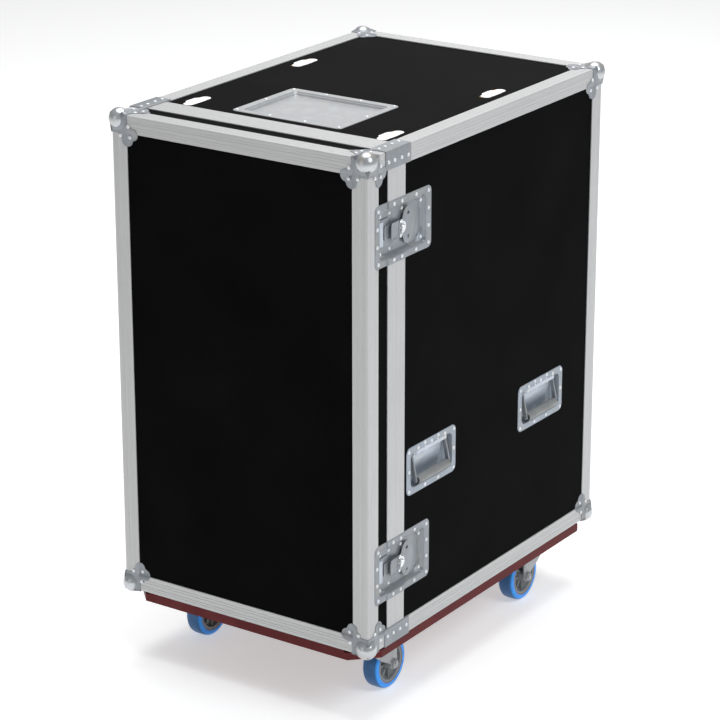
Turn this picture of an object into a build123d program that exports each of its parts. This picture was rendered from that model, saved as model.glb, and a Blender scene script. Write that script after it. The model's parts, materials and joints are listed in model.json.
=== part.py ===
"""Flight case for 19-inch rack equipment: a plywood body on castors with a lift-off front lid."""
from build123d import *
from math import cos, radians, sin
import os

os.makedirs("parts", exist_ok=True)

# ---------------------------------------------------------------- driving dimensions, mm
# Frame: X across the case, Y from the front lid (-) to the rear (+), Z up, origin on the floor.
CASE_W, CASE_D, CASE_H = 553.0, 794.0, 925.0
CASTOR_H = 120.0            # floor to castor top plate
BOARD_T = 18.0              # castor board
FLANGE = 33.0               # visible width of an edge angle
SHEET = 2.0                 # wall of every aluminium profile
PLY = 9.0                   # panel thickness
LID_D = 89.0                # front face to the joint between lid and body
CLOSURE = 27.0              # visible width of one closure profile
GAP = 0.3                   # air between lid and body at the joint
BUTT = 0.1                  # air at the butt joints of neighbouring bars
PLATE = 1.2                 # pressed steel hardware
HEAD_R, HEAD_H = 3.6, 1.8   # rivet head

HW, HD = CASE_W / 2, CASE_D / 2
Z0 = CASTOR_H + BOARD_T
Z1 = Z0 + CASE_H
ZM = (Z0 + Z1) / 2
FRONT, REAR = -HD, HD
JOINT = FRONT + LID_D
LID_END, BODY_START = JOINT - GAP / 2, JOINT + GAP / 2
SKIN_X, SKIN_Y = HW - SHEET, HD - SHEET            # outer faces of the panels
INNER_X, INNER_Y = SKIN_X - PLY, SKIN_Y - PLY      # inner faces of the panels
WEB_LID, WEB_BODY = 7.0, 3.0                       # closure webs behind the joint faces
TONGUE_T, TONGUE_L = 4.0, 4.5

# latches: local u runs rearward from the joint, v up, w outward from the side face
LATCH_Z = (Z0 + 146.5, Z0 + 778.0)
LATCH_H = 114.0
LATCH_U0, LATCH_U1 = -68.0, 111.0                  # flange ends
POCKET_H = 88.0
POCKET_U0, POCKET_U1 = -52.0, 94.0
POCKET_D = 10.0
SPINDLE_U = 22.0
COVER_U = 42.0
HOOK_TRAVEL = 8.0

# handles
HANDLE_Y = (FRONT + 206.5, FRONT + 590.5)
HANDLE_Z = Z0 + 313.0
HANDLE_W, HANDLE_HT = 163.0, 92.0
BAY_W, BAY_HT, BAY_D = 137.0, 66.0, 16.0
PIVOT_V, PIVOT_W = 25.0, -8.0                      # bail pivot in the dish
ARM_U = 55.0                                       # arm centre, either side
LEAN, ARM_L = radians(12.7), 48.0                  # the bail hangs a little outwards
GRIP_V, GRIP_W, GRIP_R = PIVOT_V - ARM_L * cos(LEAN), PIVOT_W + ARM_L * sin(LEAN), 8.0

# label dish on the top
DISH_X, DISH_Y = 5.0, FRONT + 234.0
DISH_W, DISH_L, DISH_D = 238.0, 192.0, 7.0

# castors
CASTOR_X, CASTOR_Y = 205.0, 277.0                  # swivel axes
TRAIL = 38.0
WHEEL_R, WHEEL_T = 50.0, 32.0
RIM_R = 38.0
AXLE_R = 5.0
LEG_X, LEG_T = 19.0, 3.0

# rack rails: 20 units of 44.45 mm
UNITS, UNIT = 20, 44.45
RAIL_HOLE_X, RAIL_EDGE_X, RAIL_SIDE_X = 232.55, 225.0, 245.0
RAIL_Y = (FRONT + 150.0, REAR - 90.0)
RAIL_W = 26.0

# ball corners and braces
BALL_R, BALL_IN = 19.5, 10.0
BRACE_Y0, BRACE_Y1, BRACE_T = FRONT + 53.0, FRONT + 131.0, 1.5


def block(low, high, mode=Mode.ADD):
    """A box between two corners, in the part being built."""
    centre = tuple((a + b) / 2 for a, b in zip(low, high))
    with Locations(centre):
        Box(*[b - a for a, b in zip(low, high)], mode=mode)


def save(part, name):
    part.label = name
    export_step(part, f"parts/{name}.step")


def side_plane(y, z, x=HW):
    """Plane on the right side face: u rearward, v up, w outward."""
    return Plane(origin=(x, y, z), x_dir=(0, 1, 0), z_dir=(1, 0, 0))


def both_sides(planes):
    """The same planes on the right side and, looking outward, on the left side."""
    left = [Plane(origin=(-p.origin.X, p.origin.Y, p.origin.Z), x_dir=(0, -1, 0), z_dir=(-1, 0, 0))
            for p in planes]
    return list(planes) + left


handle_planes = both_sides([side_plane(y, HANDLE_Z, SKIN_X) for y in HANDLE_Y])

# ---------------------------------------------------------------- panels of the body
BODY_PLY = BODY_START + WEB_BODY


def latch_cut(u0, u1, mode=Mode.SUBTRACT):
    """Clears the latch pockets through both side walls between two distances from the joint."""
    for z in LATCH_Z:
        for side in (-1, 1):
            x = sorted((side * (INNER_X - 2), side * (HW + 2)))
            block((x[0], JOINT + u0, z - POCKET_H / 2), (x[1], JOINT + u1, z + POCKET_H / 2), mode)


for side, name in ((1, "side_panel_right"), (-1, "side_panel_left")):
    with BuildPart() as side_panel:
        x = sorted((side * INNER_X, side * SKIN_X))
        block((x[0], BODY_PLY, Z0 + SHEET + PLY), (x[1], INNER_Y, Z1 - SHEET - PLY))
        latch_cut(0, POCKET_U1)
        with BuildSketch(*handle_planes):
            RectangleRounded(BAY_W, BAY_HT, 12)
        extrude(amount=-2 * PLY, mode=Mode.SUBTRACT)
    save(side_panel.part, name)

with BuildPart() as top_panel:
    block((-SKIN_X, BODY_PLY, Z1 - SHEET - PLY), (SKIN_X, INNER_Y, Z1 - SHEET))
    with BuildSketch(Plane((DISH_X, DISH_Y, Z1 - SHEET))):
        RectangleRounded(DISH_W - 30, DISH_L - 30, 8)
    extrude(amount=-2 * PLY, mode=Mode.SUBTRACT)


def inlay_outline(grow=0.0):
    """Peanut outline of a wheel-location inlay at the four places on the top panel."""
    for x, y, turn in INLAYS:
        with Locations(Location((x, y, 0), (0, 0, turn))):
            with Locations((0, -11)):
                RectangleRounded(23.5 + grow, 50 + grow, 9)
            with Locations(Location((-2.5, 13, 0), (0, 0, 6))):
                RectangleRounded(22.5 + grow, 47 + grow, 9)


INLAYS = [(-211, FRONT + 504, 0), (212, FRONT + 504, 0), (-208, FRONT + 156, 180), (215, FRONT + 154, 180)]
INLAY_T = 3.0
with top_panel:
    with BuildSketch(Plane.XY.offset(Z1 - SHEET)):
        inlay_outline(0.2)
    extrude(amount=-INLAY_T, mode=Mode.SUBTRACT)
save(top_panel.part, "top_panel")

with BuildPart() as stacking_inlays:
    with BuildSketch(Plane.XY.offset(Z1 - SHEET - INLAY_T)):
        inlay_outline()
    extrude(amount=INLAY_T + 0.3)
save(stacking_inlays.part, "stacking_inlays")

with BuildPart() as bottom_panel:
    block((-SKIN_X, BODY_PLY, Z0 + SHEET), (SKIN_X, INNER_Y, Z0 + SHEET + PLY))
save(bottom_panel.part, "bottom_panel")

with BuildPart() as rear_panel:
    block((-SKIN_X, INNER_Y, Z0 + SHEET), (SKIN_X, SKIN_Y, Z1 - SHEET))
save(rear_panel.part, "rear_panel")

# ---------------------------------------------------------------- aluminium edge angles


def angle_bar(corner, along, length):
    """L profile whose outer corner line starts at corner and runs along one axis."""
    cx, cy, cz = corner
    if along == "Y":
        a = (cx, cz - ZM)
        plane = Plane(origin=(0, cy, ZM), x_dir=(1, 0, 0), z_dir=(0, -1, 0))
        amount = -length
    elif along == "Z":
        plane = Plane(origin=(0, 0, cz), x_dir=(1, 0, 0), z_dir=(0, 0, 1))
        a = (cx, cy)
        amount = length
    else:
        plane = Plane(origin=(cx, 0, ZM), x_dir=(0, 1, 0), z_dir=(1, 0, 0))
        a = (cy, cz - ZM)
        amount = length
    su = -1 if a[0] > 0 else 1
    sv = -1 if a[1] > 0 else 1
    with BuildSketch(plane) as profile:
        with BuildLine():
            Polyline(
                a,
                (a[0] + su * FLANGE, a[1]),
                (a[0] + su * FLANGE, a[1] + sv * SHEET),
                (a[0] + su * SHEET, a[1] + sv * SHEET),
                (a[0] + su * SHEET, a[1] + sv * FLANGE),
                (a[0], a[1] + sv * FLANGE),
                close=True,
            )
        make_face()
    extrude(profile.sketch, amount=amount)


with BuildPart() as body_angles:
    for x in (-HW, HW):
        for z in (Z0, Z1):
            angle_bar((x, BODY_START, z), "Y", REAR - FLANGE - BUTT - BODY_START)
        angle_bar((x, REAR, Z0), "Z", CASE_H)
    for z in (Z0, Z1):
        angle_bar((-HW + FLANGE + BUTT, REAR, z), "X", CASE_W - 2 * (FLANGE + BUTT))
save(body_angles.part, "body_angles")

with BuildPart() as lid_angles:
    for x in (-HW, HW):
        for z in (Z0, Z1):
            angle_bar((x, FRONT + FLANGE + BUTT, z), "Y", LID_END - FRONT - FLANGE - BUTT)
        angle_bar((x, FRONT, Z0), "Z", CASE_H)
    for z in (Z0, Z1):
        angle_bar((-HW + FLANGE + BUTT, FRONT, z), "X", CASE_W - 2 * (FLANGE + BUTT))
save(lid_angles.part, "lid_angles")

# ---------------------------------------------------------------- closure profiles at the joint


def closure_bars(y_face, direction, web):
    """Four bars: an outer plate, a web across the panel's edge and, by mode, a tongue or a groove."""
    y_plate = y_face + direction * CLOSURE
    y_web = y_face + direction * web
    y0, y1 = sorted((y_face, y_plate))
    w0, w1 = sorted((y_face, y_web))
    for side in (-1, 1):
        x0, x1 = sorted((side * SKIN_X, side * HW))
        block((x0, y0, Z0 + FLANGE), (x1, y1, Z1 - FLANGE))
        x0, x1 = sorted((side * INNER_X, side * SKIN_X))
        block((x0, w0, Z0 + FLANGE), (x1, w1, Z1 - FLANGE))
        z_out, z_skin = (Z1, Z1 - SHEET) if side > 0 else (Z0, Z0 + SHEET)
        z_in = z_skin - side * PLY
        za, zb = sorted((z_skin, z_out))
        block((-HW + FLANGE, y0, za), (HW - FLANGE, y1, zb))
        za, zb = sorted((z_in, z_skin))
        block((-HW + FLANGE, w0, za), (HW - FLANGE, w1, zb))


def closure_tongues(length, thick, mode):
    """The tongue of the body profile, or the groove it enters, along all four bars."""
    mid_x = (INNER_X + SKIN_X) / 2
    for side in (-1, 1):
        block((side * mid_x - thick / 2, JOINT - length, Z0 + FLANGE),
              (side * mid_x + thick / 2, JOINT + GAP, Z1 - FLANGE), mode)
        mid_z = ZM + side * (CASE_H / 2 - SHEET - PLY / 2)
        block((-HW + FLANGE, JOINT - length, mid_z - thick / 2),
              (HW - FLANGE, JOINT + GAP, mid_z + thick / 2), mode)


with BuildPart() as body_closure:
    closure_bars(BODY_START, 1, WEB_BODY)
    closure_tongues(TONGUE_L, TONGUE_T, Mode.ADD)
    latch_cut(-10, CLOSURE + 1)
save(body_closure.part, "body_closure")

with BuildPart() as lid_closure:
    closure_bars(LID_END, -1, WEB_LID)
    closure_tongues(TONGUE_L + 0.6, TONGUE_T + 0.8, Mode.SUBTRACT)
    latch_cut(-CLOSURE - 1, 10)
save(lid_closure.part, "lid_closure")

# ---------------------------------------------------------------- lid panels
with BuildPart() as lid_front_panel:
    block((-SKIN_X, -SKIN_Y, Z0 + SHEET), (SKIN_X, -INNER_Y, Z1 - SHEET))
save(lid_front_panel.part, "lid_front_panel")

with BuildPart() as lid_walls:
    y_end = LID_END - WEB_LID
    for side in (-1, 1):
        x0, x1 = sorted((side * INNER_X, side * SKIN_X))
        block((x0, -INNER_Y, Z0 + SHEET + PLY + BUTT), (x1, y_end, Z1 - SHEET - PLY - BUTT))
    for z in (Z0 + SHEET, Z1 - SHEET - PLY):
        block((-SKIN_X, -INNER_Y, z), (SKIN_X, y_end, z + PLY))
    latch_cut(POCKET_U0, 0)
save(lid_walls.part, "lid_walls")

# ---------------------------------------------------------------- latch dishes
def stepped_flange(steps):
    """Pressed flange that follows the profiles: (u0, u1, w) runs, joined by short risers."""
    for z in LATCH_Z:
        for u0, u1, w in steps:
            block((HW + w, JOINT + u0, z - LATCH_H / 2), (HW + w + PLATE, JOINT + u1, z + LATCH_H / 2))
        for (_, u, w_a), (_, _, w_b) in zip(steps, steps[1:]):
            low, high = sorted((w_a, w_b))
            near, far = (u, u + PLATE) if w_b < w_a else (u - PLATE, u)
            block((HW + low, JOINT + near, z - LATCH_H / 2), (HW + high + PLATE, JOINT + far, z + LATCH_H / 2))


def flange_window(u0, u1, mode):
    """Keeps the flange's rounded outline or cuts the pocket's mouth."""
    with BuildSketch(*[side_plane(JOINT + (u0 + u1) / 2, z, HW - 20) for z in LATCH_Z]) as window:
        if mode == Mode.INTERSECT:
            RectangleRounded(u1 - u0, LATCH_H, 11)
        else:
            Rectangle(u1 - u0, POCKET_H - 2 * PLATE)
    extrude(window.sketch, amount=40, mode=mode)


def pocket(u0, u1, open_end):
    """Pocket shell below the flange, open at the joint."""
    for z in LATCH_Z:
        block((HW - POCKET_D - 1, JOINT + u0, z - POCKET_H / 2 + 0.1),
              (HW, JOINT + u1, z + POCKET_H / 2 - 0.1))
        a, b = (u0, u1 - PLATE) if open_end == "low" else (u0 + PLATE, u1)
        block((HW - POCKET_D, JOINT + a, z - POCKET_H / 2 + PLATE),
              (HW + 5, JOINT + b, z + POCKET_H / 2 - PLATE), Mode.SUBTRACT)


EDGE = GAP / 2
with BuildPart() as latch_dishes:
    stepped_flange([(EDGE, CLOSURE, 0), (CLOSURE, LATCH_U1, -SHEET)])
    flange_window(-LATCH_U1, LATCH_U1, Mode.INTERSECT)
    pocket(EDGE, POCKET_U1, "low")
    with BuildSketch(*[side_plane(JOINT + COVER_U, z, HW - POCKET_D) for z in LATCH_Z]):
        with Locations((0, 26), (0, -26)):
            Circle(3.5)
    extrude(amount=5)
    with BuildSketch(*[side_plane(JOINT + COVER_U, z, HW - POCKET_D + 5) for z in LATCH_Z]):
        Ellipse(24, 35)
        with Locations((0, 21.5), (0, -21.5)):
            Circle(3.2, mode=Mode.SUBTRACT)
        with Locations((SPINDLE_U - COVER_U, 0)):
            Circle(8.2, mode=Mode.SUBTRACT)
    extrude(amount=PLATE)
    mirror(about=Plane.YZ)
save(latch_dishes.part, "latch_dishes")

with BuildPart() as latch_keepers:
    stepped_flange([(LATCH_U0, LATCH_U0 + 12, 0), (LATCH_U0 + 12, -CLOSURE, -SHEET), (-CLOSURE, -EDGE, 0)])
    flange_window(LATCH_U0, -LATCH_U0, Mode.INTERSECT)
    pocket(POCKET_U0, -EDGE, "high")
    for z in LATCH_Z:
        block((HW - POCKET_D, JOINT - 46, z - 26), (HW - 7.6, JOINT - 14, z + 26))
        block((HW - 7.6, JOINT - 46, z - 26), (HW - 4, JOINT - 43, z + 26))
    mirror(about=Plane.YZ)
save(latch_keepers.part, "latch_keepers")

# ---------------------------------------------------------------- latch movements
LATCH_NAMES = [("lower_right", 0, 1), ("upper_right", 1, 1), ("lower_left", 0, -1), ("upper_left", 1, -1)]
SPINDLE_R = 7.0
WING_PIVOT_U = SPINDLE_U - 11                       # wing hinge beside the spindle
WING_W = -0.2                                       # wing hinge height
PIN_R = 1.5
for place, level, side in LATCH_NAMES:
    z = LATCH_Z[level]
    spindle_plane = side_plane(JOINT + SPINDLE_U, z)

    with BuildPart() as spindle:
        with BuildSketch(spindle_plane.offset(-9.6)):
            Circle(SPINDLE_R)
        extrude(amount=6.4)
        with BuildSketch(spindle_plane.offset(-3.6)):
            Circle(11)
        extrude(amount=1.0)
        for v in (-14.5, 10.5):                     # lugs that carry the wing's pin
            block((HW - 3.6, JOINT + WING_PIVOT_U - 2.5, z + v),
                  (HW + 1.8, JOINT + WING_PIVOT_U + 2.5, z + v + 4))
            block((HW - 3.6, JOINT + WING_PIVOT_U - 2.5, z + v),
                  (HW - 2.6, JOINT + SPINDLE_U, z + v + 4))
        with Locations(Location((HW + WING_W, JOINT + WING_PIVOT_U, z))):
            Cylinder(PIN_R, 29)
        if side < 0:
            mirror(about=Plane.YZ, mode=Mode.REPLACE)
    save(spindle.part, f"latch_spindle_{place}")

    with BuildPart() as wing:
        with BuildSketch(side_plane(JOINT, z, HW + WING_W - 0.8)):
            with Locations((WING_PIVOT_U - 15.5, 0)):
                RectangleRounded(27, 33, 8)
        extrude(amount=1.6)
        block((HW - 3, JOINT + WING_PIVOT_U - 4, z - 17), (HW + 3, JOINT + WING_PIVOT_U + 4, z - 10.2),
              Mode.SUBTRACT)
        block((HW - 3, JOINT + WING_PIVOT_U - 4, z + 10.2), (HW + 3, JOINT + WING_PIVOT_U + 4, z + 17),
              Mode.SUBTRACT)
        with Locations(Location((HW + WING_W, JOINT + WING_PIVOT_U, z))):
            Cylinder(2.2, 20.2)
            Cylinder(PIN_R + 0.05, 40, mode=Mode.SUBTRACT)
        if side < 0:
            mirror(about=Plane.YZ, mode=Mode.REPLACE)
    save(wing.part, f"latch_wing_{place}")

    with BuildPart() as hook:
        block((HW - 7, JOINT - 30, z - 13), (HW - 5.6, JOINT + 46, z + 13))
        block((HW - 9, JOINT - 5, z - 13), (HW - 7, JOINT + 4, z + 13))
        block((HW - 10, JOINT + SPINDLE_U - 16, z - 7.6),     # slot that lets the hook travel past the spindle
              (HW, JOINT + SPINDLE_U + SPINDLE_R + HOOK_TRAVEL + 2, z + 7.6), Mode.SUBTRACT)
        if side < 0:
            mirror(about=Plane.YZ, mode=Mode.REPLACE)
    save(hook.part, f"latch_hook_{place}")

# ---------------------------------------------------------------- handles
with BuildPart() as handle_dishes:
    with BuildSketch(*handle_planes):
        RectangleRounded(HANDLE_W, HANDLE_HT, 12)
    extrude(amount=PLATE)
    with BuildSketch(*handle_planes):
        RectangleRounded(BAY_W - 0.2, BAY_HT - 0.2, 11.9)
    extrude(amount=-BAY_D)
    with BuildSketch(*[p.offset(PLATE) for p in handle_planes]):
        RectangleRounded(BAY_W - 2 * PLATE, BAY_HT - 2 * PLATE, 10.7)
    extrude(amount=-BAY_D, mode=Mode.SUBTRACT)
    with BuildSketch(*[p.offset(-BAY_D + PLATE) for p in handle_planes]):
        with Locations((-ARM_U + 8, PIVOT_V), (ARM_U - 8, PIVOT_V)):
            Rectangle(3, 10)
    extrude(amount=BAY_D - PLATE + PIVOT_W + 4)
    with BuildSketch(*[Plane(origin=p.from_local_coords((0, PIVOT_V, PIVOT_W)), x_dir=(0, 0, 1),
                             z_dir=p.x_dir) for p in handle_planes]):
        Circle(2.5)
    extrude(amount=60, both=True, mode=Mode.SUBTRACT)
save(handle_dishes.part, "handle_dishes")

with BuildPart() as handle_pivots:
    for plane in handle_planes:
        for end in (-1, 1):
            start = plane.from_local_coords((end * (ARM_U + 6), PIVOT_V, PIVOT_W))
            with BuildSketch(Plane(origin=start, z_dir=plane.x_dir * -end)):
                Circle(2.45)
            extrude(amount=18)
            coil = plane.from_local_coords((end * (ARM_U - 10.5), PIVOT_V, PIVOT_W))
            with BuildSketch(Plane(origin=coil, z_dir=plane.x_dir * -end)):
                Circle(5)
                Circle(2.6, mode=Mode.SUBTRACT)
            extrude(amount=20)
save(handle_pivots.part, "handle_pivots")

HANDLE_NAMES = ["front_right", "rear_right", "front_left", "rear_left"]
for place, plane in zip(HANDLE_NAMES, handle_planes):
    with BuildPart() as bail:
        for end in (-1, 1):
            arm = Plane(origin=plane.from_local_coords((end * ARM_U - 2, 0, 0)),
                        x_dir=(0, 0, 1), z_dir=plane.x_dir)
            out = 1 if arm.to_local_coords(plane.from_local_coords((0, 0, 1))).Y > 0 else -1
            with BuildSketch(arm):
                v, w = 4 * sin(LEAN), 4 * cos(LEAN)
                with BuildLine():
                    Polyline((PIVOT_V - v, out * (PIVOT_W - w)), (PIVOT_V + v, out * (PIVOT_W + w)),
                             (GRIP_V + v, out * (GRIP_W + w)), (GRIP_V - v, out * (GRIP_W - w)), close=True)
                make_face()
                with Locations((PIVOT_V, out * PIVOT_W), (GRIP_V, out * GRIP_W)):
                    Circle(4)
                with Locations((PIVOT_V, out * PIVOT_W)):
                    Circle(2.5, mode=Mode.SUBTRACT)
            extrude(amount=4)
        core = Plane(origin=plane.from_local_coords((0, GRIP_V, GRIP_W)), z_dir=plane.x_dir)
        with BuildSketch(core):
            Circle(3)
        extrude(amount=ARM_U, both=True)
    save(bail.part, f"handle_bail_{place}")

    with BuildPart() as grip:
        with BuildSketch(core):
            Circle(GRIP_R)
            Circle(3, mode=Mode.SUBTRACT)
        extrude(amount=ARM_U - 2.5, both=True)
        fillet(grip.edges().filter_by(GeomType.CIRCLE).sort_by(SortBy.LENGTH)[-2:], 1.5)
    save(grip.part, f"handle_grip_{place}")

# ---------------------------------------------------------------- label dish
with BuildPart() as label_dish:
    dish_top = Plane((DISH_X, DISH_Y, Z1 - SHEET))
    with BuildSketch(dish_top):
        RectangleRounded(DISH_W, DISH_L, 10)
    extrude(amount=PLATE)
    with BuildSketch(dish_top):
        RectangleRounded(DISH_W - 31, DISH_L - 31, 7.5)
    extrude(amount=-DISH_D, taper=35)
    with BuildSketch(dish_top.offset(PLATE)):
        RectangleRounded(DISH_W - 31, DISH_L - 31, 7.5)
    extrude(amount=-DISH_D, taper=35, mode=Mode.SUBTRACT)
save(label_dish.part, "label_dish")

# ---------------------------------------------------------------- ball corners and braces

def corner_plate(plane):
    """One face of a ball corner in local axes that run inward from the corner."""
    with BuildSketch(plane) as petal:
        with BuildLine():
            Polyline((-PLATE, -PLATE), (36, -PLATE), (46, 24), (24, 46), (-PLATE, 36), close=True)
        make_face()
        with Locations((20, 38), (38, 20), (44, 37), (37, 44)):
            Circle(8.5)
    extrude(petal.sketch, amount=PLATE)


def ball_corner(sx, sy, sz):
    """Pressed steel corner: three petal plates round a ball, at the corner with these signs."""
    x, y, z = sx * HW, sy * HD, ZM + sz * CASE_H / 2
    corner_plate(inward_plane((x, y, z), (-sx, 0, 0), (0, -sy, 0), (0, 0, sz)))
    corner_plate(inward_plane((x, y, z), (-sx, 0, 0), (0, 0, -sz), (0, sy, 0)))
    corner_plate(inward_plane((x, y, z), (0, -sy, 0), (0, 0, -sz), (sx, 0, 0)))
    with Locations((x - sx * BALL_IN, y - sy * BALL_IN, z - sz * BALL_IN)):
        Sphere(BALL_R)
    low = (x - sx * 60, y - sy * 60, z - sz * 60)
    block([min(a, b) for a, b in zip(low, (x, y, z))], [max(a, b) for a, b in zip(low, (x, y, z))],
          Mode.SUBTRACT)


def inward_plane(origin, u, v, outward):
    """Plane whose u axis runs along u; its normal points outward only if u, v are right-handed."""
    u, v, outward = Vector(*u), Vector(*v), Vector(*outward)
    if u.cross(v).dot(outward) > 0:
        return Plane(origin=origin, x_dir=u, z_dir=outward)
    return Plane(origin=origin, x_dir=v, z_dir=outward)


for sy, name in ((-1, "ball_corners_front"), (1, "ball_corners_rear")):
    with BuildPart() as corners:
        for sx in (-1, 1):
            for sz in (-1, 1):
                ball_corner(sx, sy, sz)
    save(corners.part, name)

for y0, y1, name in ((BRACE_Y0, LID_END, "brace_corners_lid"), (BODY_START, BRACE_Y1, "brace_corners_body")):
    with BuildPart() as braces:
        for sx in (-1, 1):
            for sz in (-1, 1):
                x, z = sx * HW, ZM + sz * CASE_H / 2
                x0, x1 = sorted((x + sx * BRACE_T, x - sx * FLANGE))
                z0, z1 = sorted((z + sz * BRACE_T, z - sz * FLANGE))
                block((x0, y0, z0), (x1, y1, z1))
                x0, x1 = sorted((x, x - sx * (FLANGE + 1)))
                z0, z1 = sorted((z, z - sz * (FLANGE + 1)))
                block((x0, y0, z0), (x1, y1, z1), Mode.SUBTRACT)
    save(braces.part, name)

# ---------------------------------------------------------------- rivets
with BuildPart() as rivet_head:
    with BuildSketch():
        Circle(HEAD_R)
    extrude(amount=HEAD_H)
    fillet(rivet_head.faces().sort_by(Axis.Z)[-1].edges(), HEAD_H * 0.8)


def rivets(plane, points):
    """Rivet heads at local points of a plane, seated on it."""
    with Locations(*[plane * Location((u, v, 0)) for u, v in points]):
        add(rivet_head.part)


CORNER_RIVETS = [(40, 40), (20, 38), (38, 20)]


def corner_rivets(sy):
    for sx in (-1, 1):
        for sz in (-1, 1):
            corner = (sx * HW, sy * HD, ZM + sz * CASE_H / 2)
            for u, v, n in (((-sx, 0, 0), (0, -sy, 0), (0, 0, sz)), ((-sx, 0, 0), (0, 0, -sz), (0, sy, 0)),
                            ((0, -sy, 0), (0, 0, -sz), (sx, 0, 0))):
                rivets(inward_plane(corner, u, v, n).offset(PLATE), CORNER_RIVETS)


def brace_rivets(ys):
    for sx in (-1, 1):
        for sz in (-1, 1):
            for y in ys:
                z = ZM + sz * CASE_H / 2
                rivets(Plane(origin=(sx * (HW + BRACE_T), y, z - sz * 19), z_dir=(sx, 0, 0)), [(0, 0)])
                rivets(Plane(origin=(sx * (HW - 19), y, z + sz * BRACE_T), z_dir=(0, 0, sz)), [(0, 0)])


def latch_rivets(rows):
    for z in LATCH_Z:
        for u, v, w in rows:
            for side in (-1, 1):
                rivets(Plane(origin=(side * (HW + w + PLATE), JOINT + u, z + v), z_dir=(side, 0, 0)), [(0, 0)])


with BuildPart() as lid_rivets:
    corner_rivets(-1)
    brace_rivets((FRONT + 61.5, FRONT + 80))
    latch_rivets([(-10, 50, 0), (-10, -50, 0), (-58.5, 47, 0), (-58.5, -47, 0), (-62, 16, 0), (-62, -16, 0)])
save(lid_rivets.part, "lid_rivets")

with BuildPart() as body_rivets:
    corner_rivets(1)
    brace_rivets((FRONT + 101.7, FRONT + 122))
    latch_rivets([(14.5, 50, 0), (14.5, -50, 0), (62, 50, -SHEET), (62, -50, -SHEET)])
    latch_rivets([(101.5, v, -SHEET) for v in (-47.5, -16, 16, 47.5)])
    for plane in handle_planes:
        rim = [(u, v) for u in (-74, 74) for v in (-38, 0, 38)]
        rim += [(-22, -39), (22, -39), (-44, 38), (0, 38), (44, 38)]
        rivets(plane.offset(PLATE), rim)
    edge_x, edge_y = DISH_W / 2 - 8, DISH_L / 2 - 8
    rivets(Plane((DISH_X, DISH_Y, Z1 - SHEET + PLATE)),
           [(u, v) for u in (-edge_x, edge_x) for v in (-edge_y, 0, edge_y)]
           + [(u, v) for u in (-38, 38) for v in (-edge_y, edge_y)])
save(body_rivets.part, "body_rivets")

# ---------------------------------------------------------------- rack rails
RAIL_H = UNITS * UNIT
with BuildPart() as rack_rails:
    for y, inward in ((RAIL_Y[0], 1), (RAIL_Y[1], -1)):
        for side in (-1, 1):
            y0, y1 = sorted((y, y + inward * SHEET))
            x0, x1 = sorted((side * RAIL_EDGE_X, side * RAIL_SIDE_X))
            block((x0, y0, ZM - RAIL_H / 2), (x1, y1, ZM + RAIL_H / 2))
            y0, y1 = sorted((y, y + inward * RAIL_W))
            x0, x1 = sorted((side * (RAIL_SIDE_X - SHEET), side * RAIL_SIDE_X))
            block((x0, y0, ZM - RAIL_H / 2), (x1, y1, ZM + RAIL_H / 2))
    with BuildSketch(Plane(origin=(0, 0, ZM), x_dir=(1, 0, 0), z_dir=(0, -1, 0))):
        for step in (-15.875, 0, 15.875):
            with GridLocations(2 * RAIL_HOLE_X, UNIT, 2, UNITS):
                with Locations((0, step)):
                    Circle(3.25)
    extrude(amount=HD, both=True, mode=Mode.SUBTRACT)
save(rack_rails.part, "rack_rails")

with BuildPart() as rail_battens:
    for y, inward in ((RAIL_Y[0], 1), (RAIL_Y[1], -1)):
        y0, y1 = sorted((y, y + inward * 42))
        for side in (-1, 1):
            x0, x1 = sorted((side * RAIL_SIDE_X, side * INNER_X))
            block((x0, y0, Z0 + SHEET + PLY), (x1, y1, Z1 - SHEET - PLY))
    for plane in handle_planes:
        with BuildSketch(plane):
            Rectangle(BAY_W + 6, BAY_HT + 6)
        extrude(amount=-BAY_D - 3, mode=Mode.SUBTRACT)
save(rail_battens.part, "rail_battens")

# ---------------------------------------------------------------- castor board
BOARD_CHAMFER, BOARD_INSET = 45.0, 1.0
RELIEF, POCKET_W, CORNER_REACH = 3.5, 34.0, 54.0
with BuildPart() as castor_board:
    with BuildSketch(Plane.XY.offset(CASTOR_H)):
        board_outline = Rectangle(CASE_W - 2 * BOARD_INSET, CASE_D - 2 * BOARD_INSET)
        chamfer(board_outline.vertices(), BOARD_CHAMFER)
    extrude(amount=BOARD_T)
    for side in (-1, 1):                            # pockets for the corner plates and braces
        x0, x1 = sorted((side * (HW - POCKET_W), side * HW))
        block((x0, FRONT, Z0 - RELIEF), (x1, BRACE_Y1 + 1, Z0), Mode.SUBTRACT)
        x0, x1 = sorted((side * (HW - CORNER_REACH), side * HW))
        block((x0, FRONT, Z0 - RELIEF), (x1, FRONT + CORNER_REACH, Z0), Mode.SUBTRACT)
        block((x0, REAR - CORNER_REACH, Z0 - RELIEF), (x1, REAR, Z0), Mode.SUBTRACT)
save(castor_board.part, "castor_board")

# ---------------------------------------------------------------- castors
TOP_PLATE_T = 3.0
CROWN_Z = 103.0
RACE_Z = 107.0
BOLT_GRID = (60.0, 80.0)
swivels = [(sx * CASTOR_X, sy * CASTOR_Y) for sy in (-1, 1) for sx in (-1, 1)]

with BuildPart() as castor_plates:
    with BuildSketch(Plane.XY.offset(CASTOR_H - TOP_PLATE_T)):
        with Locations(*swivels):
            RectangleRounded(80, 105, 6)
        with Locations(*swivels):
            with GridLocations(*BOLT_GRID, 2, 2):
                Circle(4.5, mode=Mode.SUBTRACT)
    extrude(amount=TOP_PLATE_T)
    with BuildSketch(Plane.XY.offset(RACE_Z + 2.4)):
        with Locations(*swivels):
            Circle(27)
    extrude(amount=CASTOR_H - TOP_PLATE_T - RACE_Z - 2.4)
save(castor_plates.part, "castor_plates")

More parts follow.
